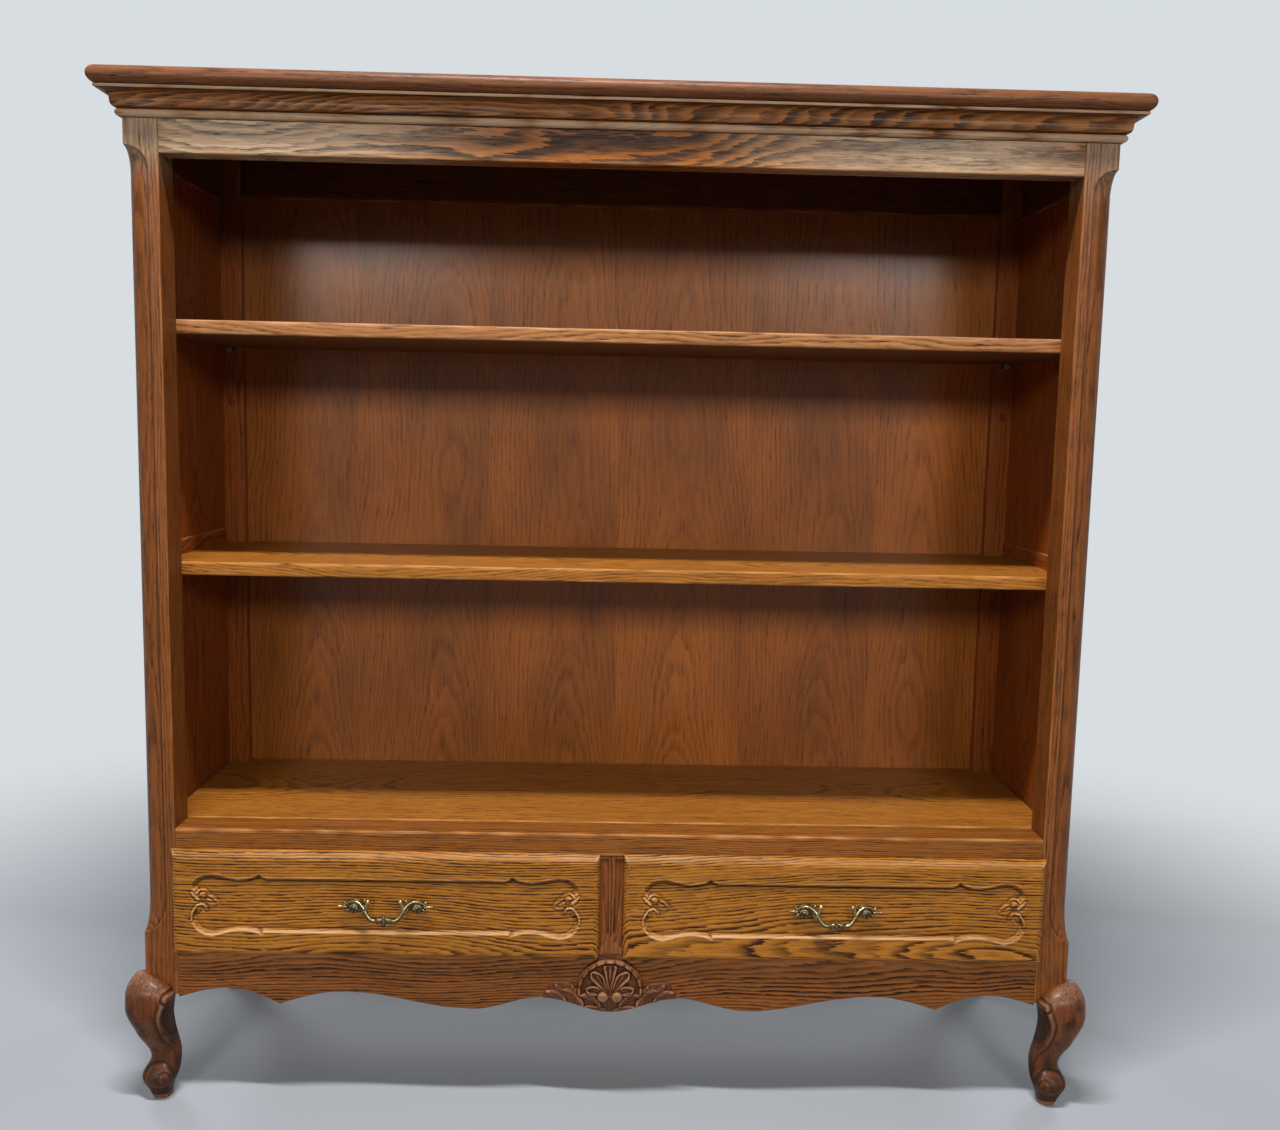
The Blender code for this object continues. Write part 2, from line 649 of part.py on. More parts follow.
def build_front(posts):
    """Frieze rail, drawer rail, apron and the post between the drawers."""
    both = (posts["front_left"], posts["front_right"])
    x = (-INNER + FIT, INNER - FIT)
    face = FRONT + FACE_SETBACK
    pieces = {"frieze_rail": ((face, FRONT + FRIEZE_THICKNESS), (FRIEZE_BOTTOM, CASE_TOP - FIT)),
              "drawer_rail": ((face, POST_BACK), (RAIL_BOTTOM, FLOOR_TOP))}
    rails = {}
    for name, (y, z) in pieces.items():
        rail = box(name, x, y, z, oak, arris=0.002)
        middle = (y[0] + y[1]) / 2
        tongue = ((x[0] - TENON_LENGTH, x[1] + TENON_LENGTH),
                  (middle - TENON_THICKNESS / 2, middle + TENON_THICKNESS / 2),
                  (z[0] + TENON_SHOULDER, z[1] - TENON_SHOULDER))
        tenon(rail, name, *tongue, both)
        rails[name] = rail
    apron = build_apron(x, face, both)
    z = (APRON_TOP + FIT, RAIL_BOTTOM - FIT)
    half = CENTRE_POST_WIDTH / 2
    y = (face, FRONT + CENTRE_POST_DEPTH)
    post = box("centre_post", (-half, half), y, z, oak)
    middle = face + APRON_THICKNESS / 2
    tongue = ((-half + TENON_SHOULDER, half - TENON_SHOULDER),
              (middle - TENON_THICKNESS / 2, middle + TENON_THICKNESS / 2),
              (z[0] - TENON_LENGTH / 2, z[1] + TENON_LENGTH / 2))
    tenon(post, "centre_post", *tongue, (apron, rails["drawer_rail"]))


def apron_edge():
    """Lower edge of the apron's right half, from the post to the middle, down from its top.

    The knots: share of the half opening from the middle, share of the deepest drop, and whether
    the edge runs level there.
    """
    half = INNER - FIT
    knots = [(1.0, APRON_END_SHARE, False), (0.888, APRON_OUTER_ARCH_SHARE, True),
             (0.768, APRON_CUSP_SHARE, False), (0.619, APRON_INNER_ARCH_SHARE, True),
             (0.320, APRON_BELLY_SHARE, True), (0.156, APRON_NOTCH_SHARE, True), (0.0, 1.0, True)]
    return swept_edge([(share * half, -drop * APRON_DROP, level) for share, drop, level in knots])


def build_apron(x, face, posts):
    """Apron with a serpentine lower edge, symmetrical about the shell."""
    half = x[1]
    right = apron_edge()
    left = [(-px, py) for px, py in reversed(right[:-1])]
    points = [(-half, 0.0), (half, 0.0)] + right + left
    middle = face + APRON_THICKNESS / 2
    matrix = axes((0, middle, APRON_TOP), (1, 0, 0), (0, 0, 1))
    apron = outline_solid("apron", points, APRON_THICKNESS, matrix, oak)
    for word, side in SIDES.items():
        tongue = (across(side, half - 0.004, half + TENON_LENGTH),
                  (middle - TENON_THICKNESS / 2, middle + TENON_THICKNESS / 2),
                  (LEG_HEIGHT + TENON_SHOULDER, APRON_TOP - TENON_SHOULDER))
        tenon(apron, f"apron_{word}", *tongue, posts)
    return apron


def build_shell():
    """Shell carved at the middle of the apron: a fluted dome over two balls, with leafy wings."""
    centre = SHELL_TOP_GAP + DOME_RADIUS
    dome = [(px, -centre + pz) for px, pz in arc((0.0, 0.0), (DOME_RADIUS, DOME_RADIUS), 90, 6, 7)]
    wing = [(WING_REACH * 0.65, -WING_TOP_DROP * 1.09), (WING_REACH * 0.82, -WING_TOP_DROP),
            (WING_REACH * 0.93, -WING_TOP_DROP * 1.10), (WING_REACH, -WING_TIP_DROP)]
    edge = [(px, py + FIT) for px, py in apron_edge() if px < WING_REACH * 0.85]
    right = dome + wing + edge
    left = [(-px, py) for px, py in reversed(right[1:-1])]
    back = FRONT + FACE_SETBACK - FIT
    matrix = axes((0, back - SHELL_THICKNESS / 2, APRON_TOP), (1, 0, 0), (0, 0, 1))
    shell = outline_solid("apron_shell", right + left, SHELL_THICKNESS, matrix, leg_oak)
    face = back - SHELL_THICKNESS
    hub = Vector((0, face, APRON_TOP - BALL_DROP))
    for index in range(SHELL_LOBES):
        angle = math.radians(LOBE_SPREAD * (index / (SHELL_LOBES - 1) - 1 / 2))
        reach = LOBE_LENGTH * (1 + math.cos(angle) * LOBE_CROWN)
        join(shell, lobe(f"lobe_{index}", hub, Vector((math.sin(angle), 0, math.cos(angle))), reach))
    for word, side in SIDES.items():
        bm = bmesh.new()
        bmesh.ops.create_uvsphere(bm, u_segments=12, v_segments=8, radius=BALL_RADIUS)
        mesh = bpy.data.meshes.new(f"ball_{word}")
        bm.to_mesh(mesh)
        bm.free()
        ball_centre = (side * BALL_SPACING, face, APRON_TOP - BALL_DROP)
        join(shell, to_cutters(place(mesh, f"ball_{word}", oak, ball_centre)))
    behind = ((-WING_REACH, WING_REACH), (back, back + LOBE_LENGTH), (APRON_TOP - 2 * APRON_DROP, APRON_TOP))
    cut(shell, cutter_box("shell_back", *behind))


def lobe(name, hub, direction, length):
    """One rounded ray of the fan, widening from the hub towards its tip."""
    bm = bmesh.new()
    bmesh.ops.create_uvsphere(bm, u_segments=10, v_segments=7, radius=0.5)
    for vert in bm.verts:
        along = vert.co.z + 0.5
        spread = LOBE_WIDTH * (0.4 + 0.6 * along)
        reach = LOBE_FOOT + (1 - LOBE_FOOT) * along
        vert.co = Vector((vert.co.x * spread, vert.co.y * 2 * LOBE_RISE, reach * length))
    mesh = bpy.data.meshes.new(name)
    bm.to_mesh(mesh)
    bm.free()
    outward = Vector((0, -1, 0))
    matrix = Matrix((outward.cross(direction), outward, direction)).transposed().to_4x4()
    matrix.translation = hub
    return to_cutters(place(mesh, name, oak, matrix=matrix))


def build_top():
    """Top board with a round nose on three sides."""
    over = HALF + OVERHANG
    board = box("top_board", (-over, over), (FRONT - OVERHANG, BACK), (CASE_TOP, HEIGHT), dark_oak, arris=0)
    bm = bmesh.new()
    bm.from_mesh(board.data)
    reach_y = (DEPTH + OVERHANG) / 2
    nosed = []
    for edge in bm.edges:
        a, b = (vert.co for vert in edge.verts)
        level = abs(a.z - b.z) < MERGE
        at_back = a.y > reach_y - MERGE and b.y > reach_y - MERGE
        if level and not at_back:
            nosed.append(edge)
    bmesh.ops.bevel(bm, geom=nosed, offset=TOP_THICKNESS * 0.46, segments=5, profile=0.5, affect="EDGES")
    bm.to_mesh(board.data)
    bm.free()
    smooth(board)


def cornice_profile():
    """Section of the cornice: distance out from the case and height below the top board."""
    top = -FIT
    cove_top = -CORNICE_FILLET_HEIGHT
    band_top = cove_top - CORNICE_COVE_HEIGHT
    bead_top = band_top - CORNICE_BAND_HEIGHT
    bottom = bead_top - CORNICE_BEAD_HEIGHT
    hollow = (CORNICE_BAND_OUT - CORNICE_COVE_OUT, CORNICE_COVE_HEIGHT)
    cove = arc((CORNICE_COVE_OUT, band_top), hollow, 90, 0, 4)
    belly = (CORNICE_QUIRK, CORNICE_BAND_HEIGHT)
    band = arc((CORNICE_BAND_OUT - CORNICE_QUIRK, band_top), belly, 0, -90, 3)
    rounding = (CORNICE_BEAD_OUT - FIT, CORNICE_BEAD_HEIGHT)
    bead = arc((FIT, bead_top), rounding, 0, -90, 4)
    return [(FIT, top), (CORNICE_FILLET_OUT, top), (CORNICE_FILLET_OUT, cove_top)] + cove + band[1:] + bead


def build_cornice():
    """Cornice mouldings on the front and both sides, mitred at the front corners."""
    profile = cornice_profile()
    spare = CORNICE_FILLET_OUT * 1.5
    over = HALF + spare
    matrix = axes((0, FRONT, CASE_TOP), (0, -1, 0), (0, 0, 1))
    front = outline_solid("cornice_front", profile, 2 * over, matrix, dark_oak)
    gap = FIT / 2
    for side in SIDES.values():
        corner = Vector((0, 0, side * (HALF - gap)))
        slice_off(front, corner, (-1, 0, side))
    length = DEPTH + spare
    for word, side in SIDES.items():
        matrix = axes((side * HALF, BACK - length / 2, CASE_TOP), (side, 0, 0), (0, 0, 1))
        piece = outline_solid(f"cornice_{word}", profile, length, matrix, dark_oak)
        front_end = side * (length / 2 - spare)
        slice_off(piece, Vector((0, 0, front_end - side * gap)), (-1, 0, side))


def build_runners():
    """Runners that carry the drawers, each with the raised guide that steers them."""
    z = (APRON_TOP - RUNNER_HEIGHT, APRON_TOP)
    guide_z = (z[0], APRON_TOP + GUIDE_HEIGHT)
    end = SIDE_RAIL_IN - FIT
    y = (POST_BACK + FIT, BACK_POST_FRONT - FIT)
    for word, side in SIDES.items():
        x = across(side, INNER - RUNNER_WIDTH, end)
        runner = box(f"drawer_runner_{word}", x, y, z, pale_oak, arris=0)
        join(runner, cutter_box(f"drawer_guide_{word}", across(side, INNER, end), y, guide_z))
    half = CENTRE_POST_WIDTH / 2
    y = (FRONT + FACE_SETBACK + APRON_THICKNESS + FIT, BACK_RAIL_FRONT - FIT)
    x = (-half - RUNNER_WIDTH, half + RUNNER_WIDTH)
    runner = box("drawer_runner_centre", x, y, z, pale_oak, arris=0)
    guide_y = (FRONT + CENTRE_POST_DEPTH + FIT, y[1])
    join(runner, cutter_box("drawer_guide_centre", (-half, half), guide_y, guide_z))


def build_drawer(word, side):
    """One drawer on its sliding axis: front, sides, back, bottom, pull and screws."""
    slide = bpy.data.objects.new(f"{word}_drawer_slide", None)
    parts.objects.link(slide)
    near = CENTRE_POST_WIDTH / 2
    lip_x = across(side, near - LIP_OVERLAP, INNER + LIP_OVERLAP)
    lip_z = (APRON_TOP - LIP_OVERLAP, RAIL_BOTTOM + LIP_OVERLAP)
    lip_y = (FRONT - LIP_THICKNESS - FIT, FRONT - FIT)
    slide.location = ((lip_x[0] + lip_x[1]) / 2, FRONT, APRON_TOP)
    body_x = across(side, near + DRAWER_GAP, INNER - DRAWER_GAP)
    floor = APRON_TOP + DRAWER_RUNNING_GAP
    top = floor + DRAWER_SIDE_HEIGHT
    front_z = (floor, RAIL_BOTTOM - DRAWER_GAP)
    back_of_front = FRONT + DRAWER_FRONT_BODY
    front = box(f"{word}_drawer_front", lip_x, lip_y, lip_z, drawer_oak, arris=0)
    round_face(front)
    join(front, cutter_box(f"{word}_front_body", body_x, (lip_y[1] - 0.003, back_of_front), front_z))
    drawer_end = BACK_RAIL_FRONT - DRAWER_BACK_CLEARANCE
    y = (back_of_front + FIT, drawer_end)
    pieces = [front]
    thick = DRAWER_SIDE_THICKNESS
    sides = []
    for end_word, x in (("left", (body_x[0], body_x[0] + thick)), ("right", (body_x[1] - thick, body_x[1]))):
        sides.append(box(f"{word}_drawer_side_{end_word}", x, y, (floor, top), pale_oak))
    inside_x = (body_x[0] + thick, body_x[1] - thick)
    bottom_z = (floor + DRAWER_BOTTOM_RISE, floor + DRAWER_BOTTOM_RISE + DRAWER_BOTTOM_THICKNESS)
    back = box(f"{word}_drawer_back", (inside_x[0] + FIT, inside_x[1] - FIT),
               (drawer_end - DRAWER_BACK_THICKNESS, drawer_end), (bottom_z[1] + FIT, top), pale_oak)
    bottom = ((inside_x[0] - DRAWER_GROOVE, inside_x[1] + DRAWER_GROOVE),
              (back_of_front - DRAWER_GROOVE, drawer_end), bottom_z)
    groove = cutter_box(f"{word}_bottom_groove", *bottom, grow=FIT)
    for piece in (front, *sides):
        cut(piece, groove)
    base = box(f"{word}_drawer_bottom", *bottom, pale_oak, arris=0)
    centre = Vector(((lip_x[0] + lip_x[1]) / 2, lip_y[0], (lip_z[0] + lip_z[1]) / 2))
    pull, screws, holes = build_pull(word, centre, back_of_front)
    for hole in holes:
        cut(front, hole)
    pieces += sides + [back, base, pull] + screws
    for piece in pieces:
        piece.parent = slide
        piece.matrix_parent_inverse = Matrix.Translation(slide.location).inverted()


def round_face(front):
    """Round the four front edges of a drawer front."""
    bm = bmesh.new()
    bm.from_mesh(front.data)
    edges = [edge for edge in bm.edges if all(vert.co.y < 0 for vert in edge.verts)]
    bmesh.ops.bevel(bm, geom=edges, offset=LIP_ROUND, segments=3, profile=0.5, affect="EDGES")
    bm.to_mesh(front.data)
    bm.free()


def build_pull(word, centre, inside):
    """Brass pull in one casting: a domed rosette at each end and a bail that dips between them."""
    face = centre.y - FIT
    screws, holes = [], []
    pull = bail(word, centre, face)
    for end_word, side in SIDES.items():
        hub = Vector((centre.x + side * PULL_CENTRES / 2, face, centre.z))
        join(pull, rosette(f"{word}_rosette_{end_word}", hub))
        tip = Vector((centre.x + side * PULL_WIDTH / 2, face - PULL_TIP_DIAMETER * 0.45, centre.z))
        inner_end = Vector((hub.x, tip.y, hub.z))
        stub = cylinder(f"{word}_tip_{end_word}", PULL_TIP_DIAMETER, inner_end, tip, brass, 10)
        join(pull, to_cutters(stub))
        tapped = face - ROSETTE_RISE * 0.6
        head_y = inside + FIT
        screw = cylinder(f"{word}_handle_screw_{end_word}", SCREW_DIAMETER, (hub.x, tapped, hub.z),
                         (hub.x, head_y + SCREW_HEAD_HEIGHT / 2, hub.z), steel, 10)
        head = cylinder(f"{word}_screw_head_{end_word}", SCREW_HEAD_DIAMETER, (hub.x, head_y, hub.z),
                        (hub.x, head_y + SCREW_HEAD_HEIGHT, hub.z), steel, 12)
        screws.append(join(screw, to_cutters(head)))
        deepest = (hub.x, tapped - FIT, hub.z)
        outside = (hub.x, head_y + SCREW_HEAD_HEIGHT, hub.z)
        hole = cylinder(f"{word}_screw_hole_{end_word}", SCREW_DIAMETER + 2 * FIT, deepest, outside, oak, 10)
        holes.append(to_cutters(hole))
    behind = cutter_box(f"{word}_pull_back", (centre.x - PULL_WIDTH, centre.x + PULL_WIDTH),
                        (face, face + ROSETTE_RISE * 2), (centre.z - PULL_WIDTH, centre.z + PULL_WIDTH))
    cut(pull, behind)
    for hole in holes:
        cut(pull, hole)
    return pull, screws, holes


def rosette(name, hub):
    """Oval dome round one of the screws."""
    bm = bmesh.new()
    bmesh.ops.create_uvsphere(bm, u_segments=14, v_segments=8, radius=1.0)
    bmesh.ops.scale(bm, vec=(ROSETTE_WIDTH / 2, ROSETTE_RISE, ROSETTE_HEIGHT / 2), verts=bm.verts)
    mesh = bpy.data.meshes.new(name)
    bm.to_mesh(mesh)
    bm.free()
    return to_cutters(place(mesh, name, brass, hub))


def bail(word, centre, face):
    """The bail: a bar that rises from one rosette, dips, swells in the middle and runs to the other."""
    curve = bpy.data.curves.new(f"{word}_handle", "CURVE")
    curve.dimensions = "3D"
    curve.bevel_depth = BAIL_WIRE
    curve.bevel_resolution = 2
    curve.use_fill_caps = True
    spline = curve.splines.new("POLY")
    count = 15
    spline.points.add(count - 1)
    start = PULL_CENTRES / 2
    for i, point in enumerate(spline.points):
        u = -1 + 2 * i / (count - 1)
        x = bail_across(u, start)
        depth = math.sin(math.pi / 2 * min(1.0, (1 - abs(u)) * 2.2 + 0.12))
        dip = math.cos(math.pi / 2 * min(1.0, abs(u) * 1.25))
        point.co = (centre.x + x, face - (BAIL_STANDOFF - BAIL_WIRE) * depth, centre.z - BAIL_DROP * dip, 1.0)
        point.radius = 1.0 + BAIL_SWELL * math.cos(math.pi / 2 * u) ** 8
    pull = smooth(solid_from_curve(curve, f"{word}_handle", brass, Matrix.Identity(4)))
    for end_word, side in SIDES.items():
        depth = (BAIL_STANDOFF - BAIL_WIRE) * 0.9
        foot = Vector((centre.x + side * BAIL_REACH, face - depth, centre.z - BAIL_WIRE))
        tip = foot + Vector((-side * HORN_LEAN, 0, HORN_RISE + BAIL_WIRE))
        join(pull, to_cutters(cylinder(f"{word}_horn_{end_word}", BAIL_WIRE * 1.6, foot, tip, brass, 10)))
    return pull


def bail_across(u, start):
    """Distance from the pull's middle at share u of the bail, bunched where it turns down."""
    return math.copysign(start * abs(u) ** 1.35, u) if u else 0.0


for leftover in list(bpy.data.objects):
    bpy.data.objects.remove(leftover)
parts = bpy.data.collections.new("open_bookcase")
cutters = bpy.data.collections.new("cutters")
bpy.context.scene.collection.children.link(parts)
bpy.context.scene.collection.children.link(cutters)

oak = finish("oak", (0.300, 0.118, 0.036), 0.42)
dark_oak = finish("dark_oak", (0.205, 0.075, 0.028), 0.45)
leg_oak = finish("leg_oak", (0.120, 0.045, 0.020), 0.45)
drawer_oak = finish("drawer_oak", (0.330, 0.150, 0.045), 0.42)
veneer = finish("veneer", (0.240, 0.085, 0.024), 0.40)
pale_oak = finish("pale_oak", (0.420, 0.260, 0.120), 0.60)
plug_wood = finish("plug_wood", (0.330, 0.120, 0.060), 0.50)
brass = finish("brass", (0.360, 0.270, 0.120), 0.38, 0.9)
steel = finish("steel", (0.400, 0.390, 0.370), 0.40, 0.9)

all_posts = build_posts()
build_legs(all_posts)
build_sides(all_posts)
build_back(all_posts)
build_shelves(all_posts)
build_front(all_posts)
build_shell()
build_top()
build_cornice()
build_runners()
for drawer_word, drawer_side in SIDES.items():
    build_drawer(drawer_word, drawer_side)
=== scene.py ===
"""Looks of the open oak bookcase: worn boards, carved drawers and shell, cabriole legs, brass pulls."""

import logging
import math
from dataclasses import dataclass
from enum import Enum

import bpy
import numpy as np
from mathutils import Matrix, Vector


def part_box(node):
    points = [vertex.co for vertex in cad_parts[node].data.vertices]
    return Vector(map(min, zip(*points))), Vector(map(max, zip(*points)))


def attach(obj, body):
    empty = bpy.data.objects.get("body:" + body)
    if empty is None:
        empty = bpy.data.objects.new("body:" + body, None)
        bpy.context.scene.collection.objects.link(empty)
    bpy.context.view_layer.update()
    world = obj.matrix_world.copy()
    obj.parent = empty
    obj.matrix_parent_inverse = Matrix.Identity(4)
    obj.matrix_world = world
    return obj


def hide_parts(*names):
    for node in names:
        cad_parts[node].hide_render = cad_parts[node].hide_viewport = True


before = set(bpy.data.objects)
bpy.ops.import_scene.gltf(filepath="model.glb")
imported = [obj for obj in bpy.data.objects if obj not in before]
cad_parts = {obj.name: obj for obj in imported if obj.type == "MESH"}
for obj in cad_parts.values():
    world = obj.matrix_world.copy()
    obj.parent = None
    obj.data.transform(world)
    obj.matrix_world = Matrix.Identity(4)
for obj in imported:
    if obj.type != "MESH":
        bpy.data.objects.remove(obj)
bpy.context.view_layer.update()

LOG = logging.getLogger("bookcase")
SIDES = {"left": -1.0, "right": 1.0}
FIT = 0.0003  # gap in metres that a piece keeps to its neighbours
Array = np.ndarray
Colour = tuple[float, float, float]


class Way(Enum):
    """Axis of the frame that a board's grain, width or thickness runs along."""

    X = 0
    Y = 1
    Z = 2


def srgb(red: float, green: float, blue: float) -> tuple[float, float, float, float]:
    """Linear colour of a display colour given as three numbers from 0 to 255."""
    parts = [value / 255 for value in (red, green, blue)]
    linear = [part / 12.92 if part <= 0.04045 else ((part + 0.055) / 1.055) ** 2.4 for part in parts]
    return (*linear, 1.0)


def ease(value: Array, low: float, high: float) -> Array:
    """Smooth step from 0 at low to 1 at high, by the cubic 3t^2 - 2t^3."""
    t = np.clip((value - low) / (high - low), 0.0, 1.0)
    return t * t * (3 - 2 * t)


def bump(value: Array, width: float) -> Array:
    """Bell curve, exp of minus the square of value over width."""
    return np.exp(-(value / width) ** 2)


def bow(value: Array) -> Array:
    """Half circle: the root of 1 less the square of the value, and 0 beyond 1."""
    return np.sqrt(np.clip(1 - value ** 2, 0, 1))


def full_turn(count: int) -> Array:
    """Angles of a whole turn in equal steps, without the last."""
    return np.linspace(0, 2 * math.pi, count, endpoint=False)


def quarter_turn(count: int) -> Array:
    """Angles of a quarter turn with both its ends, as one row."""
    return np.linspace(0, math.pi / 2, count)[None, :]


def corners(node: str) -> tuple[Array, Array]:
    """Lowest and highest corner of a CAD node's box."""
    low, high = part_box(node)
    return np.array(low, float), np.array(high, float)


def ripple(along: Array, seed: int, rate: float, count: int = 5) -> Array:
    """Smooth seeded unevenness from about -1 to 1.

    It is the mean of count sine waves whose rates and phases are drawn at random.

    Args:
        along: Positions in metres.
        seed: Seed of the draw.
        rate: Typical number of waves in a metre.
        count: Number of waves.

    Returns:
        One number for each position.
    """
    draw = np.random.RandomState(seed)
    rates = rate * draw.uniform(0.4, 1.9, count)
    phases = draw.uniform(0, 2 * math.pi, count)
    return np.sin(np.multiply.outer(along, rates * 2 * math.pi) + phases).mean(axis=-1) * 1.7


def through(knots: list[tuple[float, ...]], at: Array) -> Array:
    """Smooth curve through knots (place, value, ...), by cubic pieces whose slopes join the neighbours.

    Args:
        knots: Rows of a rising place and one or more values.
        at: Places at which the curve is wanted.

    Returns:
        One row of values for each place, or one number where the knots have one value.
    """
    table = np.array(knots, float)
    place, values = table[:, 0], table[:, 1:]
    slopes = np.gradient(values, place, axis=0) if len(place) > 2 else np.zeros_like(values)
    index = np.clip(np.searchsorted(place, at, side="right") - 1, 0, len(place) - 2)
    span = place[index + 1] - place[index]
    t = np.clip((at - place[index]) / span, 0.0, 1.0)[..., None]
    span = span[..., None]
    result = ((2 * t ** 3 - 3 * t ** 2 + 1) * values[index] + (t ** 3 - 2 * t ** 2 + t) * span * slopes[index]
              + (3 * t ** 2 - 2 * t ** 3) * values[index + 1] + (t ** 3 - t ** 2) * span * slopes[index + 1])
    return result[..., 0] if values.shape[1] == 1 else result


def graded(knots: tuple[float, ...], pitches: tuple[float, ...]) -> Array:
    """Rising places from the first knot to the last, where each stretch between knots has its own pitch."""
    parts = [np.linspace(a, b, max(2, round((b - a) / pitch)), endpoint=False)
             for a, b, pitch in zip(knots, knots[1:], pitches)]
    return np.concatenate([*parts, knots[-1:]])


def wear_and_hollow_shade(height: Array, reach: int, gain: float) -> Array:
    """Tone of a relief: above its surroundings it is worn (up to 1), below them it is dark with painted shade
    (down to -1).

    The surroundings are the mean of the height over a square of 2 * reach + 1 points each way.

    Args:
        height: Height of each point of a grid, in metres.
        reach: Points from the middle of the square to its side.
        gain: Tone for a metre above the surroundings.

    Returns:
        The tone of each point.
    """
    size = 2 * reach + 1
    padded = np.pad(height, reach, mode="edge")
    sums = np.cumsum(np.cumsum(np.pad(padded, ((1, 0), (1, 0))), axis=0), axis=1)
    far, near = sums[size:], sums[:-size]
    mean = (far[:, size:] - near[:, size:] - far[:, :-size] + near[:, :-size]) / size ** 2
    return np.clip((height - mean) * gain, -1.0, 1.0)


def joined(parts: list[tuple[Array, Array, float]]) -> tuple[Array, Array, Array]:
    """Section put together from runs of points.

    Args:
        parts: Runs, each with its first places, its second places and one tone.

    Returns:
        First places, second places and tones as rows x columns.
    """
    grown = [(*np.broadcast_arrays(first, second), mark) for first, second, mark in parts]
    runs = ([first for first, _, _ in grown], [second for _, second, _ in grown],
            [np.full_like(first, mark) for first, _, mark in grown])
    first, second, tone = [np.concatenate(run, axis=1) for run in runs]
    return first, second, tone


class Skin:
    """Closed shells, each worked out as a grid of points, gathered into one mesh."""

    def __init__(self) -> None:
        """Start with no shells."""
        self.points: list[Array] = []
        self.tones: list[Array] = []
        self.faces: list[Array] = []
        self.count = 0

    def _keep(self, points: Array, tone: Array, faces: list[Array]) -> None:
        """Add one shell, turned so that its volume is positive and its faces point outwards.

        Args:
            points: Its points as rows of three.
            tone: Wear of each point, with painted light and shade.
            faces: Rows of point numbers, one array for each number of sides.
        """
        volume = 0.0
        for face in faces:
            first = points[face[:, 0]]
            for i in range(1, face.shape[1] - 1):
                second, third = points[face[:, i]], points[face[:, i + 1]]
                volume += np.einsum("ij,ij->i", first, np.cross(second, third)).sum()
        if volume < 0:
            faces = [face[:, ::-1] for face in faces]
        self.faces += [face + self.count for face in faces]
        self.points.append(points)
        self.tones.append(tone)
        self.count += len(points)

    def loft(self, rows: Array, tone: Array | float = 0.0) -> "Skin":
        """Add a body through closed sections, each a row of points, with a flat end on the first and last.

        Args:
            rows: Points as rows x columns x 3.
            tone: Wear and painted light of each point, from -1 for painted shade to 1 for wear and painted
                highlight.

        Returns:
            The skin itself.
        """
        count, columns = rows.shape[:2]
        index = np.arange(count * columns).reshape(count, columns)
        after = np.roll(index, -1, axis=1)
        walls = np.stack([index[:-1], after[:-1], after[1:], index[1:]], axis=-1).reshape(-1, 4)
        ends = [index[:1, ::-1], index[-1:]]
        tones = np.broadcast_to(np.asarray(tone, float), (count, columns)).ravel()
        self._keep(rows.reshape(-1, 3), tones, [walls, *ends])
        return self

    def relief(self, front: Array, back: float, tone: Array | float = 0.0) -> "Skin":
        """Add a slab whose front is a grid of points and whose back is flat at the given Y.

        Args:
            front: Points as rows x columns x 3.
            back: Y of the flat back.
            tone: Wear and painted light and shade of each front point.

        Returns:
            The skin itself.
        """
        count, columns = front.shape[:2]
        index = np.arange(count * columns).reshape(count, columns)
        around = [index[:-1, :-1], index[:-1, 1:], index[1:, 1:], index[1:, :-1]]
        face = np.stack(around, axis=-1).reshape(-1, 4)
        rim = np.concatenate([index[0, :-1], index[:-1, -1], index[-1, :0:-1], index[:0:-1, 0]])
        behind = front.reshape(-1, 3)[rim].copy()
        behind[:, 1] = back
        far = count * columns + np.arange(len(rim))
        walls = np.stack([rim, far, np.roll(far, -1), np.roll(rim, -1)], axis=-1)
        points = np.concatenate([front.reshape(-1, 3), behind])
        tones = np.broadcast_to(np.asarray(tone, float), (count, columns)).ravel()
        self._keep(points, np.concatenate([tones, tones[rim]]), [face, walls, far[None, :]])
        return self

    def build(self, name: str, crease: float = 38.0) -> bpy.types.Object:
        """Make the object.

        Args:
            name: Name of the object and its mesh.
            crease: Angle in degrees past which an edge stays sharp.

        Returns:
            The object, linked to the scene.
        """
        mesh = bpy.data.meshes.new(name)
        loops = np.concatenate([face.ravel() for face in self.faces])
        totals = np.concatenate([np.full(len(face), face.shape[1]) for face in self.faces])
        mesh.vertices.add(self.count)
        mesh.vertices.foreach_set("co", np.concatenate(self.points).ravel())
        mesh.loops.add(len(loops))
        mesh.loops.foreach_set("vertex_index", loops)
        mesh.polygons.add(len(totals))
        mesh.polygons.foreach_set("loop_start", np.concatenate([[0], np.cumsum(totals)[:-1]]))
        mesh.polygons.foreach_set("loop_total", totals)
        mesh.update(calc_edges=True)
        mesh.validate()
        mesh.shade_smooth()
        mesh.set_sharp_from_angle(angle=math.radians(crease))
        # The tone attribute holds wear and painted light and shade.
        wear_and_painted_light = mesh.attributes.new("tone", "FLOAT", "POINT")
        wear_and_painted_light.data.foreach_set("value", np.concatenate(self.tones))
        piece = bpy.data.objects.new(name, mesh)
        bpy.context.scene.collection.objects.link(piece)
        return piece


def tube(path: Array, radius: Array, columns: int = 16, ridges: float = 0.0, lobes: int = 3) -> Array:
    """Sections of a round bar along a path, each ring square to the path's direction.

    Args:
        path: Points as rows x 3.
        radius: Radius at each point.
        columns: Points in a ring.
        ridges: Depth of the ridges along the bar, as a share of the radius.
        lobes: Number of ridges.

    Returns:
        Points as rows x columns x 3.
    """
    ahead = np.gradient(path, axis=0)
    ahead /= np.linalg.norm(ahead, axis=1, keepdims=True)
    level = np.cross(ahead, np.array([0.0, -1.0, 0.0]))
    level /= np.linalg.norm(level, axis=1, keepdims=True)
    upward = np.cross(level, ahead)
    turn = full_turn(columns)[None, :, None]
    reach = np.asarray(radius)[:, None, None] * (1 + ridges * np.cos(lobes * turn))
    return path[:, None, :] + reach * (np.cos(turn) * level[:, None, :] + np.sin(turn) * upward[:, None, :])


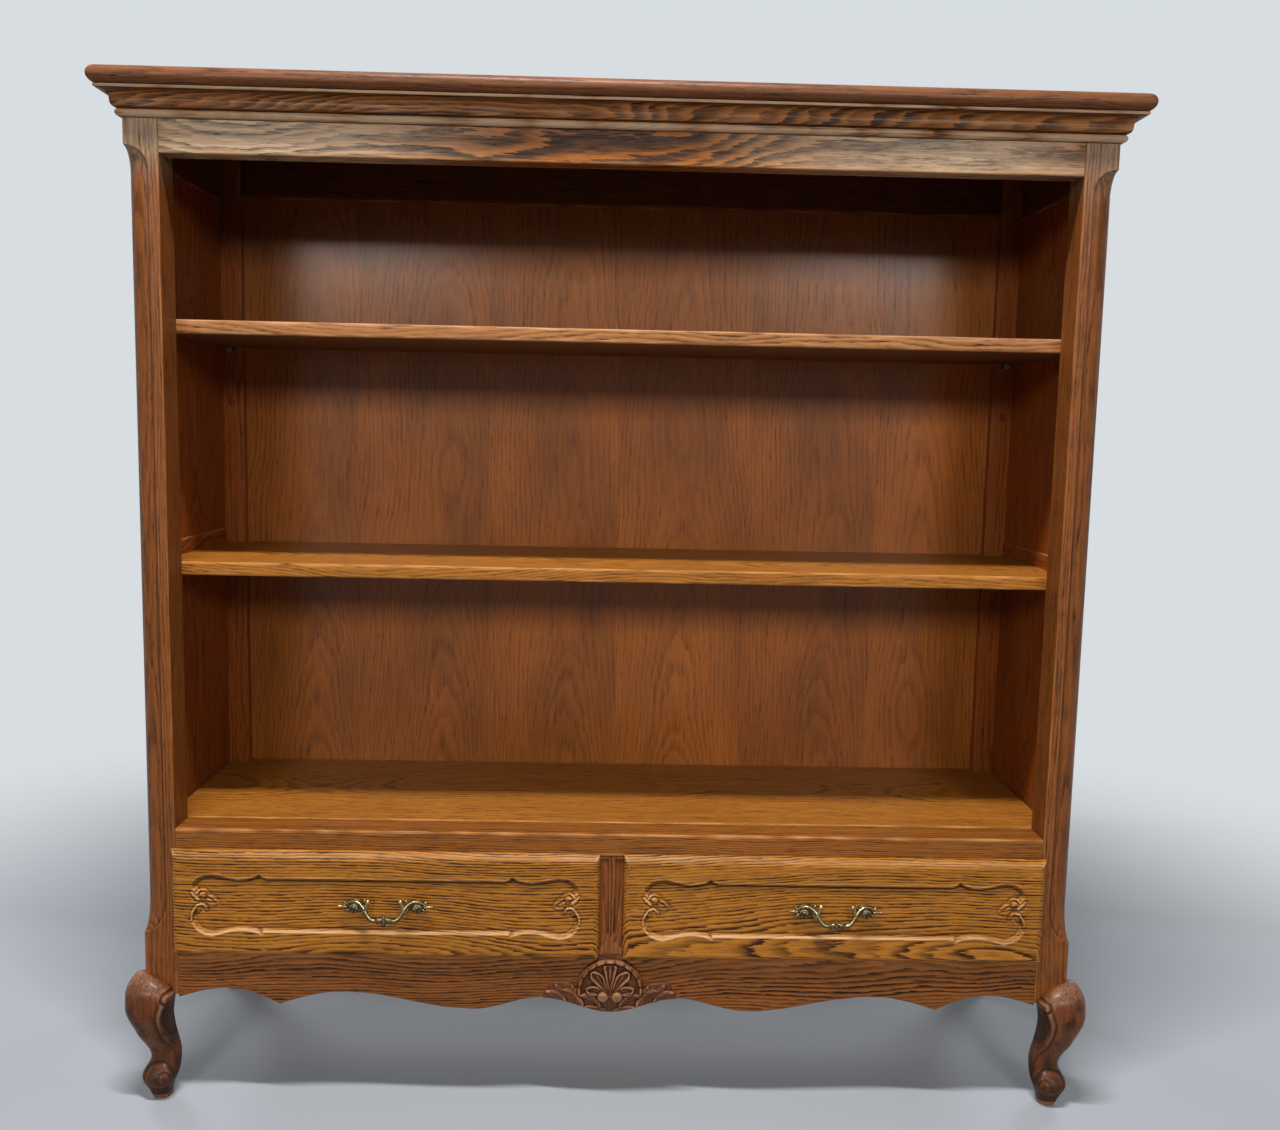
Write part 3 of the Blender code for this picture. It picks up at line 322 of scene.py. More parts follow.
def drop(centre: Array, radii: Array, lean: float = 0.0, rows: int = 12, columns: int = 18,
         veins: float = 0.0) -> Array:
    """Sections of an egg-shaped boss, an ellipsoid from pole to pole, leaning by an angle in the front plane.

    Args:
        centre: Middle of the boss.
        radii: Half its width, depth and height.
        lean: Turn in degrees about the axis that points at the viewer.
        rows: Number of rings.
        columns: Points in a ring.
        veins: Depth of the lengthwise grooves, as a share of the radius.

    Returns:
        Points as rows x columns x 3.
    """
    pole = 0.06
    fall = np.linspace(pole, math.pi - pole, rows)[:, None]
    turn = full_turn(columns)[None, :]
    girth = np.sin(fall) * (1 - veins * (0.5 + 0.5 * np.cos(6 * turn)))
    x = radii[0] * girth * np.cos(turn)
    y = radii[1] * girth * np.sin(turn)
    z = radii[2] * np.cos(fall) + 0 * turn
    c, s = math.cos(math.radians(lean)), math.sin(math.radians(lean))
    return np.stack([centre[0] + c * x + s * z, centre[1] + y, centre[2] - s * x + c * z], axis=-1)


class Value:
    """One output of a shader node, with arithmetic that adds Math nodes."""

    def __init__(self, graph: "Graph", socket: bpy.types.NodeSocket) -> None:
        """Wrap a socket of a graph."""
        self.graph = graph
        self.socket = socket

    def _math(self, operation: str, *values: "Value | float") -> "Value":
        """Math node of the given operation on the values, in their order."""
        return self.graph.node("ShaderNodeMath", 0, dict(enumerate(values)), {"operation": operation})

    def __add__(self, other: "Value | float") -> "Value":
        """Sum."""
        return self._math("ADD", self, other)

    def __sub__(self, other: "Value | float") -> "Value":
        """Difference."""
        return self._math("SUBTRACT", self, other)

    def __rsub__(self, other: float) -> "Value":
        """Difference from a number."""
        return self._math("SUBTRACT", other, self)

    def __mul__(self, other: "Value | float") -> "Value":
        """Product."""
        return self._math("MULTIPLY", self, other)

    def __truediv__(self, other: "Value | float") -> "Value":
        """Quotient."""
        return self._math("DIVIDE", self, other)

    __radd__ = __add__
    __rmul__ = __mul__

    def root(self) -> "Value":
        """Square root."""
        return self._math("SQRT", self)

    def floor(self) -> "Value":
        """Whole part."""
        return self._math("FLOOR", self)

    def fraction(self) -> "Value":
        """What is left over the whole part."""
        return self._math("FRACT", self)

    def top(self, other: "Value | float") -> "Value":
        """The larger of two values."""
        return self._math("MAXIMUM", self, other)

    def size(self) -> "Value":
        """Value without its sign."""
        return self._math("ABSOLUTE", self)

    def step(self, low: float, high: float) -> "Value":
        """Smooth step from 0 at low to 1 at high."""
        inputs = {"Value": self, "From Min": low, "From Max": high}
        return self.graph.node("ShaderNodeMapRange", 0, inputs, {"interpolation_type": "SMOOTHSTEP"})


class Graph:
    """Shader of a material or of the world."""

    def __init__(self, holder: bpy.types.Material | bpy.types.World) -> None:
        """Start with no nodes."""
        self.holder = holder
        holder.use_nodes = True
        self.tree = holder.node_tree
        self.tree.nodes.clear()

    def node(self, kind: str, out: int | str, inputs: dict, settings: dict | None = None) -> Value:
        """Add a node.

        Args:
            kind: Its type.
            out: The output that is wanted.
            inputs: Value or link of each input, by name or number.
            settings: Its own settings, made before the inputs.

        Returns:
            The wanted output.
        """
        made = self.tree.nodes.new(kind)
        for key, setting in (settings or {}).items():
            setattr(made, key, setting)
        for key, value in inputs.items():
            if isinstance(value, Value):
                self.tree.links.new(value.socket, made.inputs[key])
            else:
                made.inputs[key].default_value = value
        return Value(self, made.outputs[out])

    def place(self) -> Value:
        """Place on the object, in metres."""
        return self.node("ShaderNodeTexCoord", "Object", {})

    def vector(self, *parts: Value | float) -> Value:
        """Vector of three parts."""
        return self.node("ShaderNodeCombineXYZ", 0, dict(enumerate(parts)))

    def noise(self, at: Value, detail: float = 2.0, roughness: float = 0.5, scale: float = 1.0) -> Value:
        """Noise from -0.5 to 0.5, with scale features to a unit."""
        inputs = {"Vector": at, "Scale": scale, "Detail": detail, "Roughness": roughness}
        return self.node("ShaderNodeTexNoise", 0, inputs) - 0.5

    def streaks(self, axes: tuple, rates: tuple, detail: float = 2.0, roughness: float = 0.5,
                shift: tuple = (0, 0, 0)) -> Value:
        """Noise from -0.5 to 0.5 that is drawn out along a board.

        Args:
            axes: Places along, across and into the board, in metres.
            rates: Features in a metre of each axis.
            detail: Detail of the noise.
            roughness: Roughness of the noise.
            shift: What is added to each axis, so that two noises differ.

        Returns:
            The noise.
        """
        parts = [axis * rate + move if move else axis * rate for axis, rate, move in zip(axes, rates, shift)]
        return self.noise(self.vector(*parts), detail, roughness)

    def luck(self, number: Value) -> Value:
        """Random share from 0 to 1 that belongs to a number."""
        return self.node("ShaderNodeTexWhiteNoise", 0, {"W": number}, {"noise_dimensions": "1D"})

    def mix(self, share: Value | float, first: Value | tuple, second: Value | tuple,
            blend: str = "MIX") -> Value:
        """Blend of two colours."""
        settings = {"data_type": "RGBA", "blend_type": blend}
        return self.node("ShaderNodeMix", 2, {0: share, 6: first, 7: second}, settings)

    def relief(self, height: Value, strength: float, distance: float) -> Value:
        """Normal of a surface with the given height on it."""
        return self.node("ShaderNodeBump", 0, {"Strength": strength, "Distance": distance, "Height": height})

    def tone(self) -> Value:
        """Wear and painted light and shade kept on the mesh, which is 0 where there is none."""
        return self.node("ShaderNodeAttribute", "Fac", {}, {"attribute_name": "tone"})

    def close(self, surface: dict) -> bpy.types.Material:
        """Feed the surface's values to the shader and return the material."""
        return self.finish(self.node("ShaderNodeBsdfPrincipled", 0, surface))

    def finish(self, shader: Value, output: str = "ShaderNodeOutputMaterial") -> bpy.types.Material:
        """Link the shader to the output and return what it belongs to."""
        made = self.tree.nodes.new(output)
        self.tree.links.new(shader.socket, made.inputs["Surface"])
        return self.holder


@dataclass(frozen=True)
class Lay:
    """How a board was cut from its log."""

    along: Way
    across: Way
    middle: tuple[float, float, float]
    heart_across: float = 0.0
    heart_depth: float = 0.10
    ring: float = 0.0046
    sway: float = 0.05
    taper: float = 0.0
    leaf: float = 0.0
    seed: int = 0

    @classmethod
    def of(cls, node: str, along: Way, across: Way, **facts: float) -> "Lay":
        """Lay of the board that stands where a CAD node does.

        Args:
            node: The CAD node.
            along: Axis that the grain runs along.
            across: Axis of the width.
            facts: Other fields of the lay.

        Returns:
            The lay, about the middle of the node's box.
        """
        low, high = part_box(node)
        middle = tuple((a + b) / 2 for a, b in zip(low, high))
        return cls(along, across, middle, seed=sum(ord(letter) for letter in node) % 97, **facts)


# Noises of the oak, in features in a metre along, across and into the board.
BOW_RATES, LEAN_RATES = (1.6, 3.2, 3.2), (2.1, 2.6, 2.6)
WAVER_RATES, JAG_RATES = (16.0, 75.0, 75.0), (27.0, 250.0, 250.0)
PORE_RATES, DASH_RATES = (62.0, 620.0, 620.0), (21.0, 300.0, 300.0)
FIBRE_RATES, SMUDGE_RATES = (9.0, 330.0, 330.0), (26.0, 40.0, 40.0)
BLOTCH_ALONG, BLOTCH_ACROSS = 2.4, 6.0


@dataclass(frozen=True)
class Oak:
    """Stained oak: growth rings cut by the board's faces, open pores, fibres, blotches, worn edges and
    painted light and shade.
    """

    name: str
    late: tuple
    early: tuple
    # pale colour of wear on edges, also mixed in as painted highlight where lit faces carry a positive tone
    worn_and_painted_light: tuple = srgb(186, 132, 84)
    # dark colour of grime in the pores and smudges, also mixed in as painted shade where the tone is negative
    grime_and_painted_shade: tuple = srgb(38, 20, 12)
    wash: tuple = srgb(172, 150, 128)
    wash_share: float = 0.0
    wash_above: float | None = None
    wash_beyond: float = 0.0
    contrast: float = 1.0
    ragged: float = 1.0
    mottle: float = 0.55
    patch: float = 1.0
    band: float = 0.80
    gloss: float = 0.40
    sheen: float = 0.13
    coat: float = 0.05
    # strength of the pale colour, for wear and for painted highlights
    wear_and_painted_light: float = 1.0
    pores: float = 1.0
    soil: float = 0.0

    def dress(self, name: str, lay: Lay) -> bpy.types.Material:
        """Material of one board.

        A ring is a whole step of the distance from the log's heart, which sways along the board, so
        that a flat face shows arches where it runs near the heart and lines where it doesn't.

        Args:
            name: Name of the board.
            lay: How it was cut.

        Returns:
            The material.
        """
        g = Graph(bpy.data.materials.new(f"{self.name}_{name}"))
        place = g.place()
        split = [g.node("ShaderNodeSeparateXYZ", i, {0: place}) for i in range(3)]
        along, across = lay.along.value, lay.across.value
        into = ({0, 1, 2} - {along, across}).pop()
        length = split[along] + lay.seed * 1.37
        width = split[across] - lay.middle[across]
        depth = split[into] - lay.middle[into]
        leaf_shade: Value | float = 0.0
        if lay.leaf:
            number = (width / lay.leaf).floor()
            leaf_shade = g.luck(number) - 0.5
            width = width - (number + 0.5) * lay.leaf + leaf_shade * 0.09
            length = length + leaf_shade * 1.7
        axes = (length, width, depth)
        jag = g.streaks(axes, JAG_RATES, 2.0, 0.65)
        dark = self.rings(g, axes, lay, split[along] - lay.middle[along], jag)
        dark = dark * (jag * (1.9 * self.ragged) + 1.0)
        dots = g.streaks(axes, PORE_RATES, 2.0, 0.6).step(0.03, 0.15) * (dark * 0.6 + 0.24)
        dashes = g.streaks(axes, DASH_RATES, 2.0, 0.6, (5.0, 0, 0)).step(0.0, 0.15) * (dark * 0.5 + 0.30)
        pores = (dots + dashes) * self.pores
        fibre = g.streaks(axes, FIBRE_RATES, 3.0, 0.6)
        spread = self.patch * BLOTCH_ACROSS
        blotch = g.streaks(axes, (self.patch * BLOTCH_ALONG, spread, spread), 4.0, 0.58, (0, 0, 9.0))
        colour = g.mix(dark * (0.80 * self.contrast), self.late, self.early)
        if self.wash_share:
            colour = g.mix(self.veil(split, blotch) * (1.0 - dark * 0.5), colour, self.wash)
        shade = (fibre * 0.80 + blotch * self.mottle + 1.0 + leaf_shade * 0.22).top(0.25)
        colour = g.mix(1.0, colour, g.vector(shade, shade, shade), "MULTIPLY")
        colour = g.mix(pores * 0.62, colour, self.grime_and_painted_shade)
        if self.soil:
            smudge = g.streaks(axes, SMUDGE_RATES, 4.0, 0.62, (0, 0, 3.0))
            colour = g.mix(smudge.step(-0.04, 0.20) * self.soil, colour, self.grime_and_painted_shade)
        tone = g.tone()
        # Positive tone mixes in the pale colour: wear on edges and raised parts, and painted highlights on
        # the drawers' top lips, the fields' lower walls and the knee tops.
        rub = (tone.top(0.0) * (fibre * 1.6 + blotch * 1.2 + 0.80) * self.wear_and_painted_light).step(0.15, 1.0)
        # Negative tone mixes in the dark colour, mostly as painted shade under the shelves, on inner faces
        # and in carved hollows and quirks.
        dirt_and_painted_shade = (0.0 - tone).top(0.0)
        colour = g.mix(rub * 0.62, colour, self.worn_and_painted_light)
        colour = g.mix(dirt_and_painted_shade * 0.78, colour, self.grime_and_painted_shade)
        rough = pores * 0.16 + blotch * 0.14 + dirt_and_painted_shade * 0.2 + rub * 0.04 + self.gloss
        height = (1.0 - pores) * 0.7 + (1.0 - dark) * 0.35 + fibre * 0.25
        return g.close({"Base Color": colour, "Roughness": rough, "Normal": g.relief(height, 0.30, 0.0008),
                        "Specular IOR Level": self.sheen, "Coat Weight": self.coat, "Coat Roughness": 0.20})

    def rings(self, g: Graph, axes: tuple[Value, Value, Value], lay: Lay, away: Value, jag: Value) -> Value:
        """Darkness of the growth rings, from 0 in the late wood to about 1 in the early wood.

        Args:
            g: The board's shader.
            axes: Places along, across and into the board.
            lay: How the board was cut.
            away: Distance from the board's middle along the grain.
            jag: Fine unevenness of the rings' edges.

        Returns:
            The darkness.
        """
        _, width, depth = axes
        off_across = width + g.streaks(axes, BOW_RATES, shift=(0, 0, 4.0)) * lay.sway - lay.heart_across
        sway = g.streaks(axes, LEAN_RATES, 1.5, shift=(31.0, 0, 0)) * (lay.sway * 1.8)
        off_depth = depth + sway + lay.heart_depth
        if lay.taper:
            off_depth = off_depth + away * lay.taper
        radius = (off_across * off_across + off_depth * off_depth).root()
        ring = radius / lay.ring + g.streaks(axes, WAVER_RATES) * 0.9 + jag * (0.65 * self.ragged)
        part = ring.fraction()
        year = g.luck(ring.floor() + lay.seed * 7.0) * 0.70 + 0.42
        return (1.0 - part.step(self.band - 0.62, self.band)) * part.step(0.0, 0.07) * year

    def veil(self, split: list[Value], blotch: Value) -> Value:
        """Share of the pale wash, which may end at a height or keep to the ends.

        Args:
            split: Place on the object as X, Y and Z.
            blotch: Slow unevenness of the wood.

        Returns:
            The share, from 0 to 1.
        """
        share = (blotch * 2.0 + 0.72).step(0.1, 0.9) * self.wash_share
        if self.wash_above is not None:
            share = share * split[2].step(self.wash_above - 0.06, self.wash_above + 0.03)
        if self.wash_beyond:
            reach = split[0].size() + blotch * 0.25
            share = share * reach.step(self.wash_beyond - 0.2, self.wash_beyond + 0.2)
        return share


@dataclass(frozen=True)
class Brass:
    """Antique brass: bright where hands polish it, brown in the hollows."""

    name: str = "antique_brass"
    bright: tuple = srgb(172, 154, 112)
    dull: tuple = srgb(98, 80, 48)
    tarnish: tuple = srgb(30, 20, 12)

    def dress(self, name: str) -> bpy.types.Material:
        """Material of one casting, mottled by noise and by the tone kept on its mesh.

        Args:
            name: Name of the casting.

        Returns:
            The material.
        """
        g = Graph(bpy.data.materials.new(f"{self.name}_{name}"))
        place = g.place()
        mottle = g.noise(place, 3.0, scale=420.0)
        cloud = g.noise(place, 2.0, scale=90.0)
        tone = g.tone()
        polish = (tone + mottle * 0.9 + cloud * 0.8 + 0.05).step(0.0, 0.8)
        colour = g.mix(polish, self.dull, self.bright)
        soot = (0.0 - tone + mottle * 0.9 + 0.10).step(0.0, 0.6)
        colour = g.mix(soot * 0.9, colour, self.tarnish)
        return g.close({"Base Color": colour, "Roughness": 0.42 - polish * 0.16 + soot * 0.25,
                        "Metallic": 1.0 - soot * 0.55, "Normal": g.relief(mottle, 0.25, 0.0004)})


@dataclass(frozen=True)
class Steel:
    """Dull steel of pins and screws, with dark spots."""

    name: str = "dull_steel"
    bare: tuple = srgb(150, 148, 146)
    rusty: tuple = srgb(66, 52, 44)

    def dress(self, name: str) -> bpy.types.Material:
        """Material of one pin or screw, grey with spots of rust by noise.

        Args:
            name: Name of the pin or screw.

        Returns:
            The material.
        """
        g = Graph(bpy.data.materials.new(f"{self.name}_{name}"))
        rust = g.noise(g.place(), 4.0, scale=500.0).step(0.02, 0.2)
        colour = g.mix(rust, self.bare, self.rusty)
        return g.close({"Base Color": colour, "Roughness": rust * 0.3 + 0.34, "Metallic": 1.0 - rust * 0.5})


DRAWER_OAK = Oak("drawer_oak", srgb(168, 108, 36), srgb(58, 27, 7), worn_and_painted_light=srgb(224, 180, 136),
                 grime_and_painted_shade=srgb(30, 13, 5), contrast=1.3, ragged=1.6, band=0.74, gloss=0.36, wear_and_painted_light=0.9)
APRON_OAK = Oak("apron_oak", srgb(130, 76, 30), srgb(30, 12, 5), worn_and_painted_light=srgb(160, 104, 60),
                grime_and_painted_shade=srgb(24, 10, 5), contrast=1.3, ragged=1.5, band=0.74)
CENTRE_OAK = Oak("centre_oak", srgb(126, 70, 30), srgb(62, 31, 13), worn_and_painted_light=srgb(172, 110, 60), contrast=0.8,
                 soil=0.15)
FRIEZE_OAK = Oak("frieze_oak", srgb(146, 86, 34), srgb(60, 38, 24), wash_share=0.95,
                 wash=srgb(182, 156, 124), wash_beyond=0.30, contrast=1.3, ragged=1.3, band=0.90)
CORNICE_OAK = Oak("cornice_oak", srgb(146, 90, 42), srgb(54, 30, 17), worn_and_painted_light=srgb(194, 164, 134), wear_and_painted_light=1.6,
                  contrast=1.1, ragged=1.2, band=0.95)
TOP_OAK = Oak("top_oak", srgb(106, 64, 36), srgb(72, 41, 23), worn_and_painted_light=srgb(124, 84, 56), contrast=0.55, soil=0.2)
POST_OAK = Oak("post_oak", srgb(127, 73, 31), srgb(74, 38, 17), worn_and_painted_light=srgb(158, 106, 64), contrast=0.62,
               soil=0.25, wash_share=0.9, wash_above=1.440, wash=srgb(142, 122, 98))
RAIL_OAK = Oak("rail_oak", srgb(142, 85, 32), srgb(74, 38, 14), worn_and_painted_light=srgb(196, 138, 82), contrast=0.9)
SHELF_OAK = Oak("shelf_oak", srgb(162, 102, 36), srgb(94, 52, 17), worn_and_painted_light=srgb(190, 136, 80), contrast=0.7,
                ragged=1.3)
PALE_SHELF_OAK = Oak("pale_shelf_oak", srgb(160, 106, 60), srgb(98, 58, 32), worn_and_painted_light=srgb(190, 144, 104),
                     contrast=0.7)
INSIDE_OAK = Oak("inside_oak", srgb(140, 72, 24), srgb(84, 38, 12), contrast=0.6, mottle=0.9, gloss=0.42,
                 coat=0.03)
VENEER_OAK = Oak("veneer_oak", srgb(152, 88, 33), srgb(92, 46, 17), contrast=0.33, mottle=1.4, gloss=0.36,
                 coat=0.25, pores=0.70, ragged=0.9)
LEG_OAK = Oak("leg_oak", srgb(110, 60, 27), srgb(54, 29, 15), worn_and_painted_light=srgb(154, 118, 94), grime_and_painted_shade=srgb(32, 19, 12),
              contrast=0.5, mottle=1.8, patch=4.0, gloss=0.34, coat=0.14, soil=0.85)
CARVED_OAK = Oak("carved_oak", srgb(104, 60, 34), srgb(58, 32, 18), worn_and_painted_light=srgb(174, 128, 94), contrast=0.5,
                 mottle=1.2, patch=3.0, soil=0.3)
PALE_OAK = Oak("pale_oak", srgb(188, 146, 96), srgb(150, 106, 62), contrast=0.6, gloss=0.6, coat=0.0,
               wear_and_painted_light=0.3)
PLUG_OAK = Oak("plug_oak", srgb(132, 62, 32), srgb(88, 38, 20), contrast=0.6)


def place_piece(piece: bpy.types.Object, body: str, material: bpy.types.Material, slot: str,
                *nodes: str) -> None:
    """Dress a piece, let it ride on its body and let it stand for its CAD nodes.

    Args:
        piece: The piece.
        body: Body that it rides on.
        material: Its finish.
        slot: Not used.
        nodes: CAD nodes that it stands for.
    """
    piece.data.materials.append(material)
    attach(piece, body)
    if nodes:
        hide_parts(*nodes)
    LOG.info("%s: %d faces on %s", piece.name, len(piece.data.polygons), body)


def place_case(piece: bpy.types.Object, finish: Oak, lay: Lay, node: str, slot: str = "oak") -> None:
    """Place a piece of the case that stands for one CAD node, in the given oak."""
    place_piece(piece, "case", finish.dress(node, lay), slot, node)


def dress_node(node: str, material: bpy.types.Material) -> None:
    """Give a CAD node that stays in view its finish.

    Args:
        node: The CAD node.
        material: Its finish.
    """
    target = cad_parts[node]
    if not target.material_slots:
        target.data.materials.append(None)
    for holder in target.material_slots:
        holder.link = "OBJECT"
        holder.material = material
    LOG.info("%s: finish only", node)


@dataclass
class Board:
    """Board with worn, rounded edges, given by its limits.

    The tones of its flats, which carry painted shade where they are below zero, are given for the high
    side of the first axis across the board, the high side of the second, the low side of the first and the
    low side of the second.
    """

    name: str
    along: Way
    low: Array
    high: Array
    round_edge: float = 0.0018
    end_round: float = 0.0008
    pitch: float = 0.030
    notch: tuple[float, float] | None = None
    flats: tuple[float, float, float, float] = (0.0, 0.0, 0.0, 0.0)
    steps: int = 4
    flat_width: float = 0.005
    notch_step: float = 0.0004

    def stations(self) -> tuple[Array, Array]:
        """Stations along the board, close together where its ends are rounded by quarter circles.

        Returns:
            Places along the board, and how far its section is drawn in at each.
        """
        start, end = float(self.low[self.along.value]), float(self.high[self.along.value])
        turn = np.radians([0.0, 35.0, 65.0, 90.0])
        draw = self.end_round * (1 - np.sin(turn))
        offset = self.end_round * (1 - np.cos(turn))
        count = max(2, int((end - start) / self.pitch))
        inner = np.linspace(start + self.pitch / 2, end - self.pitch / 2, count)
        if self.notch:
            edge = self.notch[0]
            kept = inner[np.abs(np.abs(inner) - edge) > 5 * self.notch_step]
            cuts = [-edge - self.notch_step, -edge, edge, edge + self.notch_step]
            inner = np.sort(np.concatenate([kept, cuts]))
        places = np.concatenate([start + offset, inner, (end - offset)[::-1]])
        return places, np.concatenate([draw, np.zeros(len(inner)), draw[::-1]])

    def build(self) -> bpy.types.Object:
        """Make the board.

        Each section is a rectangle with its corners rounded by quarter circles whose radius varies
        a little along the board.  One more point on each side of a corner keeps the flats flat.

        Returns:
            The board's object.
        """
        a = self.along.value
        s_way, t_way = [way for way in range(3) if way != a]
        places, draw = self.stations()
        s_low, t_low = [float(self.low[way]) + draw for way in (s_way, t_way)]
        s_high, t_high = [float(self.high[way]) - draw for way in (s_way, t_way)]
        if self.notch:
            outer = np.abs(places) > self.notch[0] + self.notch_step / 2
            s_high = np.where(outer, np.minimum(s_high, self.notch[1]), s_high)
        seed = sum(ord(letter) for letter in self.name)
        thick = (t_high - t_low)[:, None]
        flat = np.minimum(self.flat_width, thick * 0.2)
        columns, tones = [], []
        for k, (sign_s, sign_t) in enumerate([(1, 1), (-1, 1), (-1, -1), (1, -1)]):
            radius = self.round_edge * (1 + 0.30 * ripple(places, seed + k, 9.0))
            radius = np.minimum(radius[:, None], thick * 0.42)
            angle = quarter_turn(self.steps + 1) + k * math.pi / 2
            s = (s_high if sign_s > 0 else s_low)[:, None] - sign_s * radius + radius * np.cos(angle)
            t = (t_high if sign_t > 0 else t_low)[:, None] - sign_t * radius + radius * np.sin(angle)
            odd, even = k % 2, 1 - k % 2
            s = np.concatenate([s[:, :1] - odd * sign_s * flat, s, s[:, -1:] - even * sign_s * flat], axis=1)
            t = np.concatenate([t[:, :1] - even * sign_t * flat, t, t[:, -1:] - odd * sign_t * flat], axis=1)
            columns.append(np.stack([s, t], axis=-1))
            rub = np.clip(0.62 + 0.5 * ripple(places, seed + 9 + k, 14.0), 0, 1)[:, None]
            before, after = self.flats[k] + 0 * rub, self.flats[(k + 1) % 4] + 0 * rub
            tones.append(np.concatenate([before, np.repeat(rub, self.steps + 1, axis=1), after], axis=1))
        section = np.concatenate(columns, axis=1)
        rows = np.zeros((*section.shape[:2], 3))
        rows[..., a] = places[:, None]
        rows[..., s_way] = section[..., 0]
        rows[..., t_way] = section[..., 1]
        return Skin().loft(rows, np.concatenate(tones, axis=1)).build(self.name)


@dataclass
class Carcase:
    """Shelves, rails and walls of the case."""

    inner: float = float(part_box("front_post_right")[0][0])
    post_back: float = float(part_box("front_post_right")[1][1])
    shelf_round: float = 0.0028
    wall_round: float = 0.0014
    # tone of painted shade on the shelves' undersides and the top rails' inner faces
    shade: float = -0.8
    hollow_depth: float = 0.0030
    leaf_height: float = 0.024
    leaf_cut: float = 0.0012
    vein_height: float = 0.0008
    centre_round: float = 0.0016
    foot_width: float = 0.036
    foot_depth: float = 0.028

    def limits(self, node: str, half: float | None = None) -> tuple[Array, Array]:
        """Limits of a node.

        Args:
            node: The CAD node.
            half: Half length in X, where that leaves out the node's tenons.

        Returns:
            Lowest and highest corner.
        """
        low, high = corners(node)
        if half is not None:
            low[0], high[0] = -half, half
        return low, high

    def rails(self) -> None:
        """Frieze rail, drawer rail and the post between the drawers."""
        figure = {"heart_across": 0.020, "heart_depth": 0.080, "ring": 0.0115, "sway": 0.150, "taper": 0.11}
        plain = {"heart_across": -0.16, "heart_depth": 0.10, "ring": 0.0034, "sway": 0.035}
        finishes = {"frieze_rail": (FRIEZE_OAK, figure, 0.0022), "drawer_rail": (RAIL_OAK, plain, 0.0028)}
        for node, (oak, facts, edge) in finishes.items():
            piece = Board(f"{node}_board", Way.X, *self.limits(node, self.inner - FIT), edge).build()
            place_case(piece, oak, Lay.of(node, Way.X, Way.Z, **facts), node)
        self.centre_post()

    def centre_post(self) -> None:
        """Post between the drawers, with two hollows that narrow downwards to a leaf at its foot.

        Each hollow is part of an ellipse across the post.  Its middle line and its width draw in evenly
        from the top to the leaf, whose edges run from that point to the post's corners.
        """
        low, high = corners("centre_post")
        low[2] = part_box("apron")[1][2] + FIT
        high[2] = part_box("drawer_rail")[0][2] - FIT
        middle, half = (low[0] + high[0]) / 2, (high[0] - low[0]) / 2
        leaf, edge = self.leaf_height, self.centre_round
        z = np.linspace(low[2], high[2], 170)[:, None]
        x = half * graded((-1.0, -0.88, 0.88, 1.0), (0.02, 0.028, 0.02))[None, :]
        drop_share = np.clip((z - low[2] - leaf) / (high[2] - low[2] - leaf - 0.004), 0, 1)
        centre, width = half * (0.20 + 0.34 * drop_share), half * (0.09 + 0.25 * drop_share)
        hollow = self.hollow_depth * bow((np.abs(x) - centre) / width)
        hollow = hollow * ease(z, low[2] + leaf, low[2] + leaf + 0.012) * ease(high[2] - z, 0.003, 0.007)
        spread = (z - low[2]) - leaf * (1 - np.abs(x) / half) ** 0.8
        cut = self.leaf_cut * ease(spread, 0.0, 0.0022)
        vein = self.vein_height * bump(x, 0.0022) * ease(-spread, 0.001, 0.004)
        over = np.clip((np.abs(x) - (half - edge)) / edge, 0, 1)
        depth = hollow + cut + vein + edge * (1 - bow(over)) + 0 * z
        front = np.stack(np.broadcast_arrays(middle + x, low[1] + depth, z), axis=-1)
        back = np.stack(np.broadcast_arrays(np.array([[high[0], low[0]]]), high[1], z), axis=-1)
        # Tone: painted shade in the hollows, wear on the raised parts, and a paler leaf at the foot.
        worn_and_painted_light = np.clip(wear_and_hollow_shade(-depth, 5, 700.0) + 0.5 * ease(-spread, 0.0, 0.003), -1, 1)
        tone = np.concatenate([np.zeros((len(z), 2)), worn_and_painted_light], axis=1)
        piece = Skin().loft(np.concatenate([back, front], axis=1), tone).build("centre_post_board", 50)
        lay = Lay.of("centre_post", Way.Z, Way.X, heart_across=0.035, heart_depth=0.06, ring=0.0045,
                     sway=0.02)
        place_case(piece, CENTRE_OAK, lay, "centre_post")

    def shelves(self) -> None:
        """Floor board and two shelves, notched round the back posts."""
        notch = (self.inner - FIT, float(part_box("back_post_right")[0][1]) - FIT)
        for node, heart, oak in (("floor_board", 0.02, SHELF_OAK), ("middle_shelf", -0.05, SHELF_OAK),
                                 ("upper_shelf", 0.07, PALE_SHELF_OAK)):
            # The shelf's underside carries painted shade.
            board = Board(f"{node}_board", Way.X, *corners(node), self.shelf_round, notch=notch,
                          flats=(0, 0, 0, self.shade))
            lay = Lay.of(node, Way.X, Way.Y, heart_across=heart, heart_depth=0.16, ring=0.0040, sway=0.06)
            place_case(board.build(), oak, lay, node)

    def walls(self) -> None:
        """Side rails, side panels, back posts, plugs, pins, back rails and back panel."""
        for word, side in SIDES.items():
            for level in ("top", "mid", "bottom"):
                # The top rails' inner faces carry painted shade.
                self.side_rail(f"side_{level}_rail_{word}", side, self.shade * (level == "top"))
            for level in ("lower", "upper"):
                node = f"side_{level}_panel_{word}"
                lay = Lay.of(node, Way.Z, Way.Y, heart_depth=0.06, sway=0.06)
                dress_node(node, INSIDE_OAK.dress(node, lay))
            self.back_post(word, side)
            for level in ("upper", "lower"):
                self.plug(f"post_plug_{level}_{word}")
            for end in ("front", "back"):
                dress_node(f"shelf_pin_{end}_{word}", Steel().dress(f"pin_{end}_{word}"))
        for level in ("top", "bottom"):
            node = f"back_{level}_rail"
